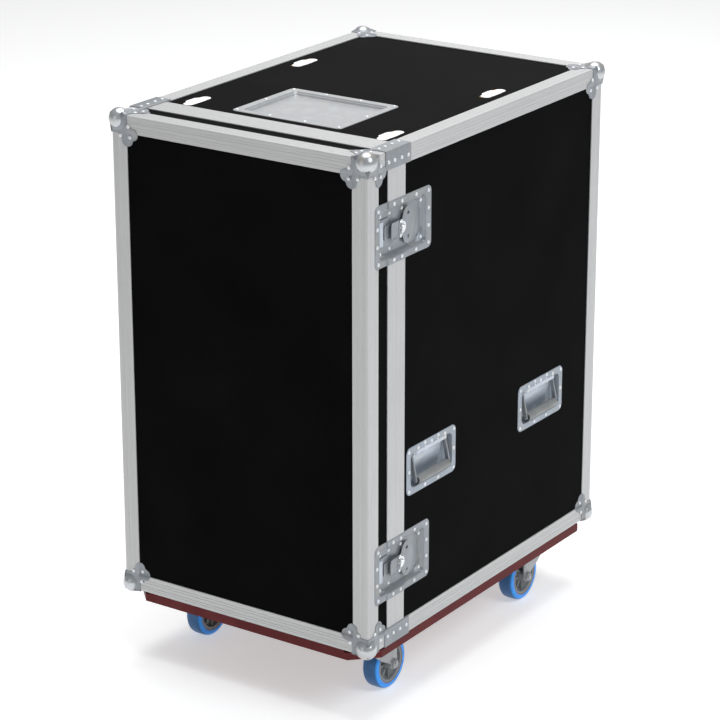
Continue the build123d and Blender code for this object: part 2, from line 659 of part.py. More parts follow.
with BuildPart() as castor_bolts:
    with BuildSketch(Plane.XY.offset(CASTOR_H - TOP_PLATE_T - 5.5)):
        with Locations(*swivels):
            with GridLocations(*BOLT_GRID, 2, 2):
                RegularPolygon(7.0, 6)
    extrude(amount=5.5)
    with BuildSketch(Plane.XY.offset(CASTOR_H - TOP_PLATE_T)):
        with Locations(*swivels):
            with GridLocations(*BOLT_GRID, 2, 2):
                Circle(4)
    extrude(amount=TOP_PLATE_T)
save(castor_bolts.part, "castor_bolts")

CASTOR_NAMES = [("front_left", -1, -1), ("front_right", 1, -1), ("rear_left", -1, 1), ("rear_right", 1, 1)]
for place, sx, sy in CASTOR_NAMES:
    x, y = sx * CASTOR_X, sy * CASTOR_Y
    toward = -sy                                    # the wheel trails towards the middle of the case
    axle_y = y + toward * TRAIL

    with BuildPart() as fork:
        with BuildSketch(Plane.XY.offset(CROWN_Z)):
            with Locations((x, y + toward * 10)):
                RectangleRounded(2 * (LEG_X + LEG_T), 78, 6)
        extrude(amount=4)
        with BuildSketch(Plane.XY.offset(RACE_Z)):
            with Locations((x, y)):
                Circle(24)
        extrude(amount=2)
        leg = Plane(origin=(x - LEG_X - LEG_T, 0, 0), x_dir=(0, 1, 0), z_dir=(1, 0, 0))
        with BuildSketch(leg, leg.offset(2 * LEG_X + LEG_T)):
            with BuildLine():
                Polyline((axle_y - toward * 11, WHEEL_R), (axle_y + toward * 11, WHEEL_R),
                         (axle_y + toward * 11, CROWN_Z + 2), (y - toward * 27, CROWN_Z + 2))
                ThreePointArc((y - toward * 27, CROWN_Z + 2), (y - toward * 12, WHEEL_R + 26),
                              (axle_y - toward * 11, WHEEL_R))
            make_face()
            with Locations((axle_y, WHEEL_R)):
                Circle(11)
        extrude(amount=LEG_T)
        axle = Plane(origin=(x, axle_y, WHEEL_R), z_dir=(1, 0, 0))
        with BuildSketch(axle):
            Circle(AXLE_R)
        extrude(amount=LEG_X + LEG_T + 2, both=True)
        for end in (-1, 1):
            with BuildSketch(axle.offset(end * (LEG_X + LEG_T))):
                RegularPolygon(8.5, 6)
            extrude(amount=end * 5)
    save(fork.part, f"castor_fork_{place}")

    with BuildPart() as hub:
        with BuildSketch(axle):
            Circle(RIM_R)
            Circle(RIM_R - 4, mode=Mode.SUBTRACT)
        extrude(amount=WHEEL_T / 2 - 1, both=True)
        with BuildSketch(axle):
            Circle(RIM_R - 2)
        extrude(amount=4, both=True)
        with BuildSketch(axle):
            Circle(12)
        extrude(amount=LEG_X - 0.6, both=True)
        with BuildSketch(axle):
            Circle(AXLE_R + 0.05)
        extrude(amount=LEG_X, both=True, mode=Mode.SUBTRACT)
    save(hub.part, f"castor_hub_{place}")

    with BuildPart() as tyre:
        with BuildSketch(axle):
            Circle(WHEEL_R)
        extrude(amount=WHEEL_T / 2, both=True)
        fillet(tyre.edges().filter_by(GeomType.CIRCLE), 4)
        with BuildSketch(axle):
            Circle(RIM_R)
        extrude(amount=WHEEL_T, both=True, mode=Mode.SUBTRACT)
    save(tyre.part, f"castor_tyre_{place}")
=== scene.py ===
"""Looks of a 19-inch flight case: ribbed aluminium edging, pressed zinc hardware, laminated ply, castors.

Shapes are written in millimetres in local axes (u, v, w) and stamped into the shared frame in metres.
"""
import json
import math

import bmesh
import bpy
from mathutils import Matrix, Vector, geometry


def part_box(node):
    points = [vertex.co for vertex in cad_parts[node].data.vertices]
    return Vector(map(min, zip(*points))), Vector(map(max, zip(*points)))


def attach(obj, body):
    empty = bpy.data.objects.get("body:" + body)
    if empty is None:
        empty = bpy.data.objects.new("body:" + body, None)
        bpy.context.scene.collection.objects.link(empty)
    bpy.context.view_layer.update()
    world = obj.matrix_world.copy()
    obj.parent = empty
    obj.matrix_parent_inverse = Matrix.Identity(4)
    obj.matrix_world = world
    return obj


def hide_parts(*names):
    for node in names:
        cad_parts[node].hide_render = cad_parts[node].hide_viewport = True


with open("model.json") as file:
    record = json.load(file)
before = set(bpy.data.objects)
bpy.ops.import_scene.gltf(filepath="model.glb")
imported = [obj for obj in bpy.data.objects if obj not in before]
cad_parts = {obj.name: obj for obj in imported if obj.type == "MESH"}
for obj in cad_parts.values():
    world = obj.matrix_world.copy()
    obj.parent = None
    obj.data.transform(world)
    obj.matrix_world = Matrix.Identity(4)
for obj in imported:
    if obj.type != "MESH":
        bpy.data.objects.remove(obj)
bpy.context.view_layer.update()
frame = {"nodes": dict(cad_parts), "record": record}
MM = 0.001
BODY = {node: body for body, nodes in frame["record"]["behaviour"]["bodies"].items() for node in nodes}


def span(node):
    """Lowest and highest corner of a CAD node, in millimetres."""
    low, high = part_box(node)
    return low / MM, high / MM


lid_low, lid_high = span("lid_angles")
HW, FRONT, REAR = lid_high.x, lid_low.y, span("body_angles")[1].y
Z0, Z1 = lid_low.z, lid_high.z
ZM = (Z0 + Z1) / 2
HD = (REAR - FRONT) / 2
GAP = 0.3                                   # air at the joint between lid and body
JOINT = lid_high.y + GAP / 2
SHEET, PLY, PLATE = 2.0, 9.0, 1.2           # profile wall, panel, pressed steel
FLANGE, CLOSURE = 33.0, 27.0                # visible widths of the edge and joint profiles
SKIN_X = HW - SHEET

# ------------------------------------------------------------ mesh helpers, in millimetres


def axes(origin, u, v, w):
    """Matrix from local (u, v, w) to the frame, still in millimetres."""
    m = Matrix((u, v, w)).transposed().to_4x4()
    m.translation = origin
    return m


def on_side(side, x, y, z):
    """Axes on the right (1) or left (-1) of something: u to the rear, v up, w outwards."""
    return axes((side * x, y, z), (0, 1, 0), (0, 0, 1), (side, 0, 0))


ALONG_X = on_side(1, 0, 0, 0)               # turns w along the first axis


def arc(cu, cv, radius, start, end, steps):
    """Points on an arc, angles in degrees."""
    angles = [math.radians(start + (end - start) * k / steps) for k in range(steps + 1)]
    return [(cu + radius * math.cos(a), cv + radius * math.sin(a)) for a in angles]


def rounded(u0, u1, v0, v1, radius, steps=5):
    """Outline of a rectangle with rounded corners, counter-clockwise."""
    r = radius
    return (arc(u1 - r, v1 - r, r, 0, 90, steps) + arc(u0 + r, v1 - r, r, 90, 180, steps)
            + arc(u0 + r, v0 + r, r, 180, 270, steps) + arc(u1 - r, v0 + r, r, 270, 360, steps))


def centred(width, height, radius, steps=5):
    """Outline of a rounded rectangle about the origin."""
    return rounded(-width / 2, width / 2, -height / 2, height / 2, radius, steps)


def at(outline, w):
    """An outline's points at height w."""
    return [(u, v, w) for u, v in outline]


def circle(steps):
    """Cosine and sine of equally spaced angles."""
    return [(math.cos(2 * math.pi * k / steps), math.sin(2 * math.pi * k / steps)) for k in range(steps)]


def loft(loops, caps=(True, True), ring=False):
    """Surface through loops that have the same number of points."""
    bm = bmesh.new()
    rows = [[bm.verts.new(p) for p in loop] for loop in loops]
    if ring:
        rows.append(rows[0])
    for a, b in zip(rows, rows[1:]):
        for i in range(len(a)):
            j = (i + 1) % len(a)
            bm.faces.new((a[i], a[j], b[j], b[i]))
    for row, cap in ((rows[0], caps[0]), (rows[-1], caps[1])):
        if cap and not ring:
            bm.faces.new(row)
    return bm


def turned(profile, steps=28, ring=False):
    """Turned shape about w from (radius, w) points."""
    return loft([[(max(radius, 0.01) * c, max(radius, 0.01) * s, w) for c, s in circle(steps)]
                 for radius, w in profile], ring=ring)


def both_ends(half, middle=()):
    """A turned profile made of one half and its mirror image."""
    return [(radius, -w) for radius, w in half] + list(middle) + half[::-1]


def prism(outline, w0, w1, edge=0.3):
    """Extruded outline whose ends are slightly smaller, so its rims catch the light."""
    inner = inset(outline, edge)
    return loft([at(inner, w0), at(outline, w0 + edge), at(outline, w1 - edge), at(inner, w1)])


def inset(outline, distance):
    """Outline moved inwards along its corner normals; the outline runs counter-clockwise."""
    moved = []
    for i, (u, v) in enumerate(outline):
        au, av = outline[i - 1]
        bu, bv = outline[(i + 1) % len(outline)]
        along = Vector((bu - au, bv - av))
        along = along.normalized() if along.length > 1e-9 else Vector((1, 0))
        moved.append((u - along.y * distance, v + along.x * distance))
    return moved


def inside(point, loop):
    """Even-odd test of a point against one closed loop."""
    u, v = point
    hit = False
    for i, (bu, bv) in enumerate(loop):
        au, av = loop[i - 1]
        if (av > v) != (bv > v) and u < (bu - au) * (v - av) / (bv - av) + au:
            hit = not hit
    return hit


def pressed(outline, height, thickness, holes=(), creases=(), points=()):
    """Pressed sheet: an outline with holes, its upper face lifted by height(u, v)."""
    verts, edges = [], []
    for loop in (outline, *holes):
        base, count = len(verts), len(loop)
        verts += loop
        edges += [(base + i, base + (i + 1) % count) for i in range(count)]
    for line in creases:
        base = len(verts)
        verts += line
        edges += [(base + i, base + i + 1) for i in range(len(line) - 1)]
    verts += points
    flat, _, faces, *_ = geometry.delaunay_2d_cdt([Vector(p) for p in verts], edges, [], 0, 1e-4)
    bm = bmesh.new()
    top = [bm.verts.new((p.x, p.y, height(p.x, p.y))) for p in flat]
    for face in faces:
        middle = sum((flat[i] for i in face), Vector((0, 0))) / len(face)
        if inside(middle, outline) and not any(inside(middle, hole) for hole in holes):
            bm.faces.new([top[i] for i in face])
    for vert in [v for v in bm.verts if not v.link_faces]:
        bm.verts.remove(vert)
    return thicken(bm, thickness)


def thicken(bm, thickness):
    """Closes an upper surface with a copy of itself lower down in w."""
    made = bmesh.ops.extrude_face_region(bm, geom=bm.faces[:], use_keep_orig=True)
    for part in made["geom"]:
        if isinstance(part, bmesh.types.BMVert):
            part.co.z -= thickness
    return bm


def keep_above(bm, axis, value, sign=1):
    """Cuts the mesh at a local plane and keeps the side that sign points to."""
    normal = Vector((0, 0, 0))
    normal[axis] = sign
    origin = Vector((0, 0, 0))
    origin[axis] = value
    bmesh.ops.bisect_plane(bm, geom=bm.verts[:] + bm.edges[:] + bm.faces[:], plane_co=origin,
                           plane_no=normal, clear_inner=True)


def split_at(bm, axis, values):
    """Adds edges where the mesh crosses local planes."""
    for value in values:
        normal = Vector((0, 0, 0))
        normal[axis] = 1
        bmesh.ops.bisect_plane(bm, geom=bm.verts[:] + bm.edges[:] + bm.faces[:], plane_co=normal * value,
                               plane_no=normal)


def wire(points, radius, steps=8):
    """Round wire along points."""
    points = [Vector(p) for p in points]
    loops, side = [], None
    for i, p in enumerate(points):
        along = (points[min(i + 1, len(points) - 1)] - points[max(i - 1, 0)]).normalized()
        if side is None:
            side = along.orthogonal().normalized()
        side = (side - along * side.dot(along)).normalized()
        other = along.cross(side)
        loops.append([p + (side * c + other * s) * radius for c, s in circle(steps)])
    return loft(loops)


def coil(radius, turns, pitch, wire_radius, per_turn=14):
    """Helical spring about w, from w = 0."""
    points = []
    for k in range(int(turns * per_turn) + 1):
        angle = 2 * math.pi * k / per_turn
        points.append((radius * math.cos(angle), radius * math.sin(angle), pitch * k / per_turn))
    return wire(points, wire_radius, 6)


def block(low, high, edge=0.3):
    """Box between two local corners with chamfered rims."""
    outline = rounded(low[0], high[0], low[1], high[1], edge, 1)
    return prism(outline, low[2], high[2], edge)


def stamp(target, source, matrix=Matrix.Identity(4)):
    """Adds a moved copy of source to target."""
    mesh = bpy.data.meshes.new("stamp")
    source.to_mesh(mesh)
    mesh.transform(matrix)
    target.from_mesh(mesh)
    bpy.data.meshes.remove(mesh)


def gather(*sources):
    """One mesh out of several; a source may be a (mesh, matrix) pair."""
    bm = bmesh.new()
    for source in sources:
        if isinstance(source, tuple):
            stamp(bm, *source)
        else:
            stamp(bm, source)
    return bm


def piece(name, bm, slot, node, stands=True, material=None, sharp=32, bevel=0.0):
    """Makes an object of a mesh in millimetres.

    It rides with the CAD node's body, and replaces the node when stands is true.
    """
    bmesh.ops.remove_doubles(bm, verts=bm.verts, dist=0.012)
    bmesh.ops.recalc_face_normals(bm, faces=bm.faces)
    bmesh.ops.scale(bm, vec=(MM, MM, MM), verts=bm.verts)
    mesh = bpy.data.meshes.new(name)
    bm.to_mesh(mesh)
    bm.free()
    mesh.shade_smooth()
    mesh.set_sharp_from_angle(angle=math.radians(sharp))
    mesh.materials.append(material or FINISH[slot])
    obj = bpy.data.objects.new(name, mesh)
    bpy.context.scene.collection.objects.link(obj)
    if bevel:
        mod = obj.modifiers.new("bevel", "BEVEL")
        mod.width, mod.segments = bevel * MM, 2
        mod.limit_method, mod.angle_limit = "ANGLE", math.radians(40)
    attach(obj, BODY[node])
    if stands:
        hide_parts(node)
    return obj


# ------------------------------------------------------------ materials


class Finish:
    """A Principled material and the nodes that feed it."""

    def __init__(self, name, **sockets):
        self.material = bpy.data.materials.new(name)
        self.material.use_nodes = True
        self.tree = self.material.node_tree
        self.shader = self.tree.nodes["Principled BSDF"]
        for socket, value in sockets.items():
            self.shader.inputs[socket.replace("_", " ")].default_value = value
        self.coords = self.node("ShaderNodeTexCoord").outputs

    def node(self, kind, **inputs):
        """New node; operation and data_type are its settings and the rest are its inputs."""
        made = self.tree.nodes.new(kind)
        for name, value in inputs.items():
            if name in ("operation", "data_type"):
                setattr(made, name, value)
            else:
                self.feed(made.inputs[name.replace("_", " ")], value)
        return made

    def feed(self, socket, value):
        """Links a socket to another one, or sets its number or colour."""
        if isinstance(value, bpy.types.NodeSocket):
            self.tree.links.new(value, socket)
        else:
            socket.default_value = value

    def math(self, operation, a, b=0.0):
        """One arithmetic step."""
        made = self.node("ShaderNodeMath", operation=operation)
        for socket, value in zip(made.inputs, (a, b)):
            self.feed(socket, value)
        return made.outputs[0]

    def noise(self, scale, detail=2.0, stretch=(1, 1, 1), source="Object"):
        """Noise in the piece's own coordinates, or in those of its UV map."""
        place = self.node("ShaderNodeMapping", Vector=self.coords[source], Scale=stretch)
        return self.node("ShaderNodeTexNoise", Vector=place.outputs[0], Scale=scale,
                         Detail=detail).outputs[0]

    def ramp(self, factor, *stops):
        """Colour ramp through (position, colour) stops."""
        made = self.node("ShaderNodeValToRGB", Fac=factor)
        band = made.color_ramp
        while len(band.elements) < len(stops):
            band.elements.new(0.5)
        for element, (position, colour) in zip(band.elements, stops):
            element.position = position
            element.color = (*colour, 1)
        return made.outputs[0]

    def mix(self, factor, a, b):
        """Blend of two colours."""
        made = self.node("ShaderNodeMix", data_type="RGBA")
        self.feed(made.inputs["Factor"], factor)
        self.feed(made.inputs[6], a)
        self.feed(made.inputs[7], b)
        return made.outputs[2]

    def range(self, value, low, high, to_low, to_high):
        """Value moved from one range to another and clamped."""
        made = self.node("ShaderNodeMapRange", Value=value)
        for socket, number in zip(("From Min", "From Max", "To Min", "To Max"), (low, high, to_low, to_high)):
            made.inputs[socket].default_value = number
        return made.outputs[0]

    def set(self, **sockets):
        """Feeds sockets of the shader."""
        for socket, value in sockets.items():
            self.feed(self.shader.inputs[socket.replace("_", " ")], value)

    def bump(self, height, strength, distance_mm):
        """Fine relief."""
        made = self.node("ShaderNodeBump", Height=height)
        made.inputs["Strength"].default_value = strength
        made.inputs["Distance"].default_value = distance_mm * MM
        self.set(Normal=made.outputs[0])


def laminate():
    """Black laminate with a fine grain on the outer skin; birch ply shows on the edges and inside."""
    f = Finish("black_laminate_ply", Specular_IOR_Level=0.012)
    xyz = f.node("ShaderNodeSeparateXYZ", Vector=f.coords["Object"]).outputs
    centre = f.math("SUBTRACT", xyz[2], ZM * MM)
    mid_y = f.math("SUBTRACT", xyz[1], (FRONT + REAR) / 2 * MM)
    depth = f.math("SUBTRACT", SKIN_X * MM, f.math("ABSOLUTE", xyz[0]))
    for value, half in ((mid_y, HD - SHEET), (centre, (Z1 - Z0) / 2 - SHEET)):
        depth = f.math("MINIMUM", depth, f.math("SUBTRACT", half * MM, f.math("ABSOLUTE", value)))
    wood = f.math("GREATER_THAN", depth, 0.0006)
    grain = f.noise(9.0, 5.0, (14, 1, 14))
    layers = f.math("PINGPONG", f.math("ADD", depth, f.math("MULTIPLY", grain, 0.0005)), 0.00145)
    birch = f.ramp(f.math("MULTIPLY", layers, 690.0), (0.15, (0.30, 0.17, 0.075)), (0.6, (0.58, 0.40, 0.22)))
    birch = f.mix(f.range(grain, 0.3, 0.7, 0.0, 0.45), birch, (0.44, 0.27, 0.13, 1))
    fine = f.noise(1100.0, 3.0)
    broad = f.noise(7.0, 2.0)
    black = f.ramp(f.math("ADD", f.math("MULTIPLY", fine, 0.7), f.math("MULTIPLY", broad, 0.3)),
                   (0.35, (0.0012, 0.0012, 0.0012)), (0.7, (0.0058, 0.0058, 0.0058)))
    f.set(Base_Color=f.mix(wood, black, birch),
          Roughness=f.range(f.math("ADD", fine, f.math("MULTIPLY", wood, 0.4)), 0.2, 1.2, 0.46, 0.72))
    f.bump(f.math("ADD", fine, f.math("MULTIPLY", f.noise(420.0, 2.0), 0.6)), 0.35, 0.12)
    return f.material


def aluminium():
    """Anodised extrusion with draw lines along its length, which is the UV map's first axis."""
    f = Finish("anodised_aluminium", Metallic=0.3)
    lines = f.noise(1.0, 4.0, (5.0, 2400.0, 1.0), "UV")
    soft = f.noise(1.0, 2.0, (1.5, 160.0, 1.0), "UV")
    cloud = f.noise(6.0, 3.0)
    tone = f.math("ADD", f.math("MULTIPLY", lines, 0.45),
                  f.math("ADD", f.math("MULTIPLY", soft, 0.35), f.math("MULTIPLY", cloud, 0.2)))
    f.set(Base_Color=f.ramp(tone, (0.3, (0.465, 0.465, 0.465)), (0.7, (0.56, 0.56, 0.56))),
          Roughness=f.range(tone, 0.3, 0.7, 0.50, 0.38))
    f.bump(lines, 0.22, 0.06)
    return f.material


def zinc(name, low, high, light, dark, warm, metal=0.35):
    """Bright zinc plate: bluish with faint warm passivation clouds."""
    f = Finish(name, Metallic=metal)
    cloud = f.noise(34.0, 4.0)
    spangle = f.noise(140.0, 2.0)
    base = f.ramp(cloud, (0.36, light), (0.52, dark), (0.66, warm))
    f.set(Base_Color=f.mix(f.range(spangle, 0.35, 0.65, 0.0, 0.12), base, (*light, 1)),
          Roughness=f.range(f.math("ADD", cloud, f.math("MULTIPLY", spangle, 0.3)), 0.4, 0.85, low, high))
    f.bump(f.noise(90.0, 3.0), 0.05, 0.1)
    return f.material


def tyre():
    """Blue polyurethane with scuffs and a fine relief; the tread carries painted shade, darker than the
    bright sides.
    """
    f = Finish("blue_tyre", Specular_IOR_Level=0.45)
    scuff = f.noise(60.0, 5.0)
    # Normals along the axle pick out the sides; the tread, facing outwards, gets a darker colour as painted
    # shade.
    facing = f.node("ShaderNodeSeparateXYZ", Vector=f.coords["Normal"]).outputs[0]
    face = f.range(f.math("ABSOLUTE", facing), 0.45, 0.85, 0.0, 1.0)
    # painted shade: the tread colour is a darker copy of the side blue
    tread = f.ramp(scuff, (0.35, (0.014, 0.095, 0.25)), (0.65, (0.020, 0.12, 0.31)))
    side = f.ramp(scuff, (0.35, (0.022, 0.30, 0.98)), (0.65, (0.034, 0.36, 1.0)))
    f.set(Base_Color=f.mix(face, tread, side),
          Roughness=f.range(scuff, 0.3, 0.7, 0.30, 0.46))
    f.bump(f.noise(500.0, 2.0), 0.15, 0.1)
    return f.material


def moulded(name, dark, light, low, high, scale=700.0):
    """Moulded plastic or rubber with a fine texture."""
    f = Finish(name, Specular_IOR_Level=0.4)
    fine = f.noise(scale, 3.0)
    cloud = f.noise(25.0, 3.0)
    f.set(Base_Color=f.ramp(f.math("ADD", f.math("MULTIPLY", fine, 0.4), f.math("MULTIPLY", cloud, 0.6)),
                            (0.35, dark), (0.65, light)),
          Roughness=f.range(fine, 0.3, 0.7, low, high))
    f.bump(fine, 0.25, 0.1)
    return f.material


def film_ply():
    """Dark red film-faced ply: sealed edges with faint layers and a wire-mesh print on the flat faces."""
    f = Finish("film_faced_ply", Specular_IOR_Level=0.05)
    xyz = f.node("ShaderNodeSeparateXYZ", Vector=f.coords["Object"]).outputs
    layers = f.math("PINGPONG", f.math("ADD", xyz[2], f.math("MULTIPLY", f.noise(14.0, 2.0), 0.0006)), 0.0014)
    edge = f.range(layers, 0.0002, 0.0012, 0.0, 1.0)
    blotch = f.noise(22.0, 4.0)
    base = f.ramp(f.math("ADD", f.math("MULTIPLY", edge, 0.3), f.math("MULTIPLY", blotch, 0.7)),
                  (0.3, (0.095, 0.017, 0.019)), (0.75, (0.15, 0.034, 0.036)))
    mesh_place = f.node("ShaderNodeMapping", Vector=f.coords["Object"], Scale=(260, 260, 1),
                        Rotation=(0, 0, math.radians(45)))
    print_ = f.node("ShaderNodeTexChecker", Vector=mesh_place.outputs[0], Scale=1.0).outputs[1]
    f.set(Base_Color=base, Roughness=f.range(blotch, 0.3, 0.7, 0.34, 0.5))
    f.bump(f.math("ADD", edge, f.math("MULTIPLY", print_, 0.4)), 0.2, 0.25)
    return f.material


def raw_ply():
    """Birch with grain along Z."""
    f = Finish("raw_ply", Specular_IOR_Level=0.3)
    grain = f.noise(10.0, 6.0, (16, 16, 1))
    f.set(Base_Color=f.ramp(grain, (0.3, (0.36, 0.21, 0.10)), (0.7, (0.62, 0.44, 0.26))),
          Roughness=f.range(grain, 0.3, 0.7, 0.75, 0.6))
    f.bump(grain, 0.3, 0.2)
    return f.material


FINISH = {
    "black_laminate_ply": laminate(),
    "anodised_aluminium": aluminium(),
    "zinc_steel": zinc("zinc_steel", 0.30, 0.42,
                       (0.285, 0.305, 0.33), (0.25, 0.27, 0.295), (0.30, 0.305, 0.305)),
    "rivet_steel": zinc("rivet_steel", 0.28, 0.4,
                        (0.80, 0.82, 0.84), (0.70, 0.72, 0.75), (0.78, 0.78, 0.76), 0.2),
    "blue_tyre": tyre(),
    "grey_nylon": moulded("grey_nylon", (0.21, 0.225, 0.235), (0.29, 0.305, 0.315), 0.45, 0.6),
    "handle_grip": moulded("handle_grip", (0.20, 0.205, 0.205), (0.275, 0.28, 0.28), 0.36, 0.5, 500.0),
    "film_faced_ply": film_ply(),
    "raw_ply": raw_ply(),
    "rail_steel": zinc("rail_steel", 0.3, 0.45,
                       (0.42, 0.44, 0.47), (0.36, 0.38, 0.41), (0.44, 0.43, 0.41)),
    "white_inlay": moulded("white_inlay", (0.84, 0.84, 0.84), (0.93, 0.93, 0.93), 0.42, 0.55),
}
BRIGHT_ZINC = zinc("bright_zinc", 0.16, 0.26,
                   (0.84, 0.86, 0.88), (0.74, 0.76, 0.79), (0.80, 0.80, 0.78), 0.75)
# Lighter, bluer copy of the zinc for the keeper lips and handle back plates: painted light inside the
# recesses.
ZINC_PAINTED_LIT = zinc("zinc_painted_lit", 0.3, 0.42, (0.54, 0.59, 0.66), (0.48, 0.53, 0.60), (0.56, 0.58, 0.60), 0.25)
PLAIN_ZINC = zinc("plain_zinc", 0.3, 0.42, (0.40, 0.415, 0.42), (0.37, 0.38, 0.39), (0.41, 0.415, 0.41), 0.3)
POLISHED = zinc("polished_zinc", 0.22, 0.34,
                (0.58, 0.60, 0.62), (0.50, 0.52, 0.54), (0.56, 0.53, 0.49), 0.7)
# Bluer copy of the zinc for the handle dishes on the sides: the blue is painted side light.
ZINC_PAINTED_BLUE_LIGHT = zinc("zinc_painted_blue_light", 0.32, 0.44,
                 (0.33, 0.37, 0.425), (0.29, 0.33, 0.385), (0.34, 0.36, 0.38), 0.25)
# Near-black rings for the grip ends: painted shade where each grip meets its bail arm.
GRIP_END_SHADE = moulded("grip_end_shade", (0.03, 0.032, 0.033), (0.055, 0.058, 0.06), 0.4, 0.55)
BOND = moulded("tyre_bond", (0.20, 0.12, 0.07), (0.30, 0.19, 0.11), 0.5, 0.65)

SLOT = {part["node"]: part["material_slot"] for part in frame["record"]["subparts"]}
for node, obj in frame["nodes"].items():
    obj.data.materials.clear()
    obj.data.materials.append(FINISH[SLOT[node]])
    for polygon in obj.data.polygons:
        polygon.material_index = 0

# ------------------------------------------------------------ extrusions
RIBS = (8.0, 12.5, 20.0, 25.0)              # grooves in a flange, from the case's edge
RIB_DEPTH = 0.4


def ribbed(start, end, grooves):
    """Outer surface of a flange from start to end at depth 0, with shallow grooves."""
    points = [(start, 0.0)]
    for g in grooves:
        points += [(g - 0.9, 0.0), (g - 0.4, RIB_DEPTH), (g + 0.4, RIB_DEPTH), (g + 0.9, 0.0)]
    return points + [(end, 0.0)]


def extrude(bm, profile, start, end, du, dv):
    """One bar from start to end; its UV map runs along the length, in metres."""
    start, end, du, dv = Vector(start), Vector(end), Vector(du), Vector(dv)
    uv = bm.loops.layers.uv.verify()
    near, far = ([bm.verts.new(p + du * a + dv * b) for a, b in profile] for p in (start, end))
    length, run = (end - start).length * MM, 0.0
    for i in range(len(profile)):
        j = (i + 1) % len(profile)
        step = math.dist(profile[i], profile[j]) * MM
        face = bm.faces.new((near[i], near[j], far[j], far[i]))
        for loop, place in zip(face.loops, ((0, run), (0, run + step), (length, run + step), (length, run))):
            loop[uv].uv = place
        run += step
    for cap in (near, far):
        for loop in bm.faces.new(cap).loops:
            loop[uv].uv = (0, 0)


flange = ribbed(2.4, FLANGE - 0.5, RIBS) + [(FLANGE, 0.5), (FLANGE, SHEET)]
ANGLE = ([(a, b) for a, b in arc(2.4, 2.4, 2.4, 180, 270, 5)][:-1] + flange + [(SHEET, SHEET)]
         + [(b, a) for a, b in reversed(flange)])


def angles(y_face, y_end):
    """Edge angles of the lid or the body: y_face is the closed end, y_end the joint."""
    bm = bmesh.new()
    inward = 1 if y_end > y_face else -1
    for sx in (-1, 1):
        extrude(bm, ANGLE, (sx * HW, y_face, Z0), (sx * HW, y_face, Z1), (-sx, 0, 0), (0, inward, 0))
        for z, up in ((Z0, 1), (Z1, -1)):
            extrude(bm, ANGLE, (sx * HW, y_face + inward * (FLANGE + 0.1), z), (sx * HW, y_end, z),
                    (-sx, 0, 0), (0, 0, up))
    for z, up in ((Z0, 1), (Z1, -1)):
        reach = HW - FLANGE - 0.1
        extrude(bm, ANGLE, (-reach, y_face, z), (reach, y_face, z), (0, inward, 0), (0, 0, up))
    return bm


piece("body_edge_angles", angles(REAR, JOINT + GAP / 2), "anodised_aluminium", "body_angles")
piece("lid_edge_angles", angles(FRONT, JOINT - GAP / 2), "anodised_aluminium", "lid_angles")

latch_names = [f"{level}_{side}" for level in ("lower", "upper") for side in ("right", "left")]
LATCH_Z = sorted({round(sum(p.z for p in span(f"latch_spindle_{name}")) / 2, 1) for name in latch_names})
POCKET_H = 88.0
outer_face = ribbed(0.5, CLOSURE - 0.5, (5.5, 10.0, 17.0, 21.5)) + [(CLOSURE, 0.5), (CLOSURE, SHEET)]
MID = SHEET + PLY / 2
BODY_CLOSURE = outer_face + [(3, SHEET), (3, SHEET + PLY), (0, SHEET + PLY), (0, MID + 2), (-3.9, MID + 2),
                             (-4.3, MID + 1.6), (-4.3, MID - 1.6), (-3.9, MID - 2), (0, MID - 2), (0, 0.5)]
LID_CLOSURE = outer_face + [(7, SHEET), (7, SHEET + PLY), (0, SHEET + PLY), (0, MID + 2.4), (5, MID + 2.4),
                            (5, MID - 2.4), (0, MID - 2.4), (0, 0.5)]


def closure(profile, y, direction):
    """Joint profile round the opening, broken where the latch pockets pass."""
    bm = bmesh.new()
    stops = [Z0 + FLANGE]
    for z in LATCH_Z:
        stops += [z - POCKET_H / 2, z + POCKET_H / 2]
    stops.append(Z1 - FLANGE)
    for sx in (-1, 1):
        for low, high in zip(stops[::2], stops[1::2]):
            extrude(bm, profile, (sx * HW, y, low), (sx * HW, y, high), (0, direction, 0), (-sx, 0, 0))
    for z, up in ((Z0, 1), (Z1, -1)):
        reach = HW - FLANGE
        extrude(bm, profile, (-reach, y, z), (reach, y, z), (0, direction, 0), (0, 0, up))
    return bm


piece("body_joint_profile", closure(BODY_CLOSURE, JOINT + GAP / 2, 1), "anodised_aluminium", "body_closure")
piece("lid_joint_profile", closure(LID_CLOSURE, JOINT - GAP / 2, -1), "anodised_aluminium", "lid_closure")

# ------------------------------------------------------------ ball corners and braces
BALL_R, BALL_IN = 19.5, 10.0
half_petal = (arc(11, 46, 12, 270, 360, 5) + arc(34.5, 46, 11.5, 180, 8, 9))
petal = [(-PLATE, -PLATE), (34.5, -PLATE), (34.2, 6)] + [(b, a) for a, b in half_petal]
petal += list(reversed(half_petal)) + [(6, 34.2), (-PLATE, 34.5)]


def smooth(value, start, end):
    """0 before start, 1 after end, eased between."""
    t = min(max((value - start) / (end - start), 0.0), 1.0)
    return t * t * (3 - 2 * t)


def corner_height(a, b):
    """Upper face of a corner plate: flared round the ball, down on the panel past both flanges."""
    flare = 2.6 * max(0.0, min(1.0, (21.5 - math.hypot(a - BALL_IN, b - BALL_IN)) / 5.5)) ** 2
    drop = SHEET * smooth(min(a, b), FLANGE - 1.0, FLANGE + 1.0)
    return PLATE + flare - drop - 0.5 * smooth(-min(a, b), -1.2, PLATE)


creases = [[(FLANGE + d, FLANGE - 1), (FLANGE + d, 62)] for d in (-1, 0, 1)]
creases += [[(FLANGE - 1, FLANGE + d), (62, FLANGE + d)] for d in (-1, 0, 1)]
creases += [[(1.2, 12), (1.2, 34)], [(12, 1.2), (34, 1.2)], [(0, 12), (0, 34)], [(12, 0), (34, 0)]]
flare_rings = [p for r in (15.5, 17, 18.5, 20, 21.5) for p in arc(BALL_IN, BALL_IN, r, 0, 352, 44)
               if min(p) > -PLATE + 0.05]
corner_plate = pressed(petal, corner_height, PLATE, creases=creases, points=flare_rings)


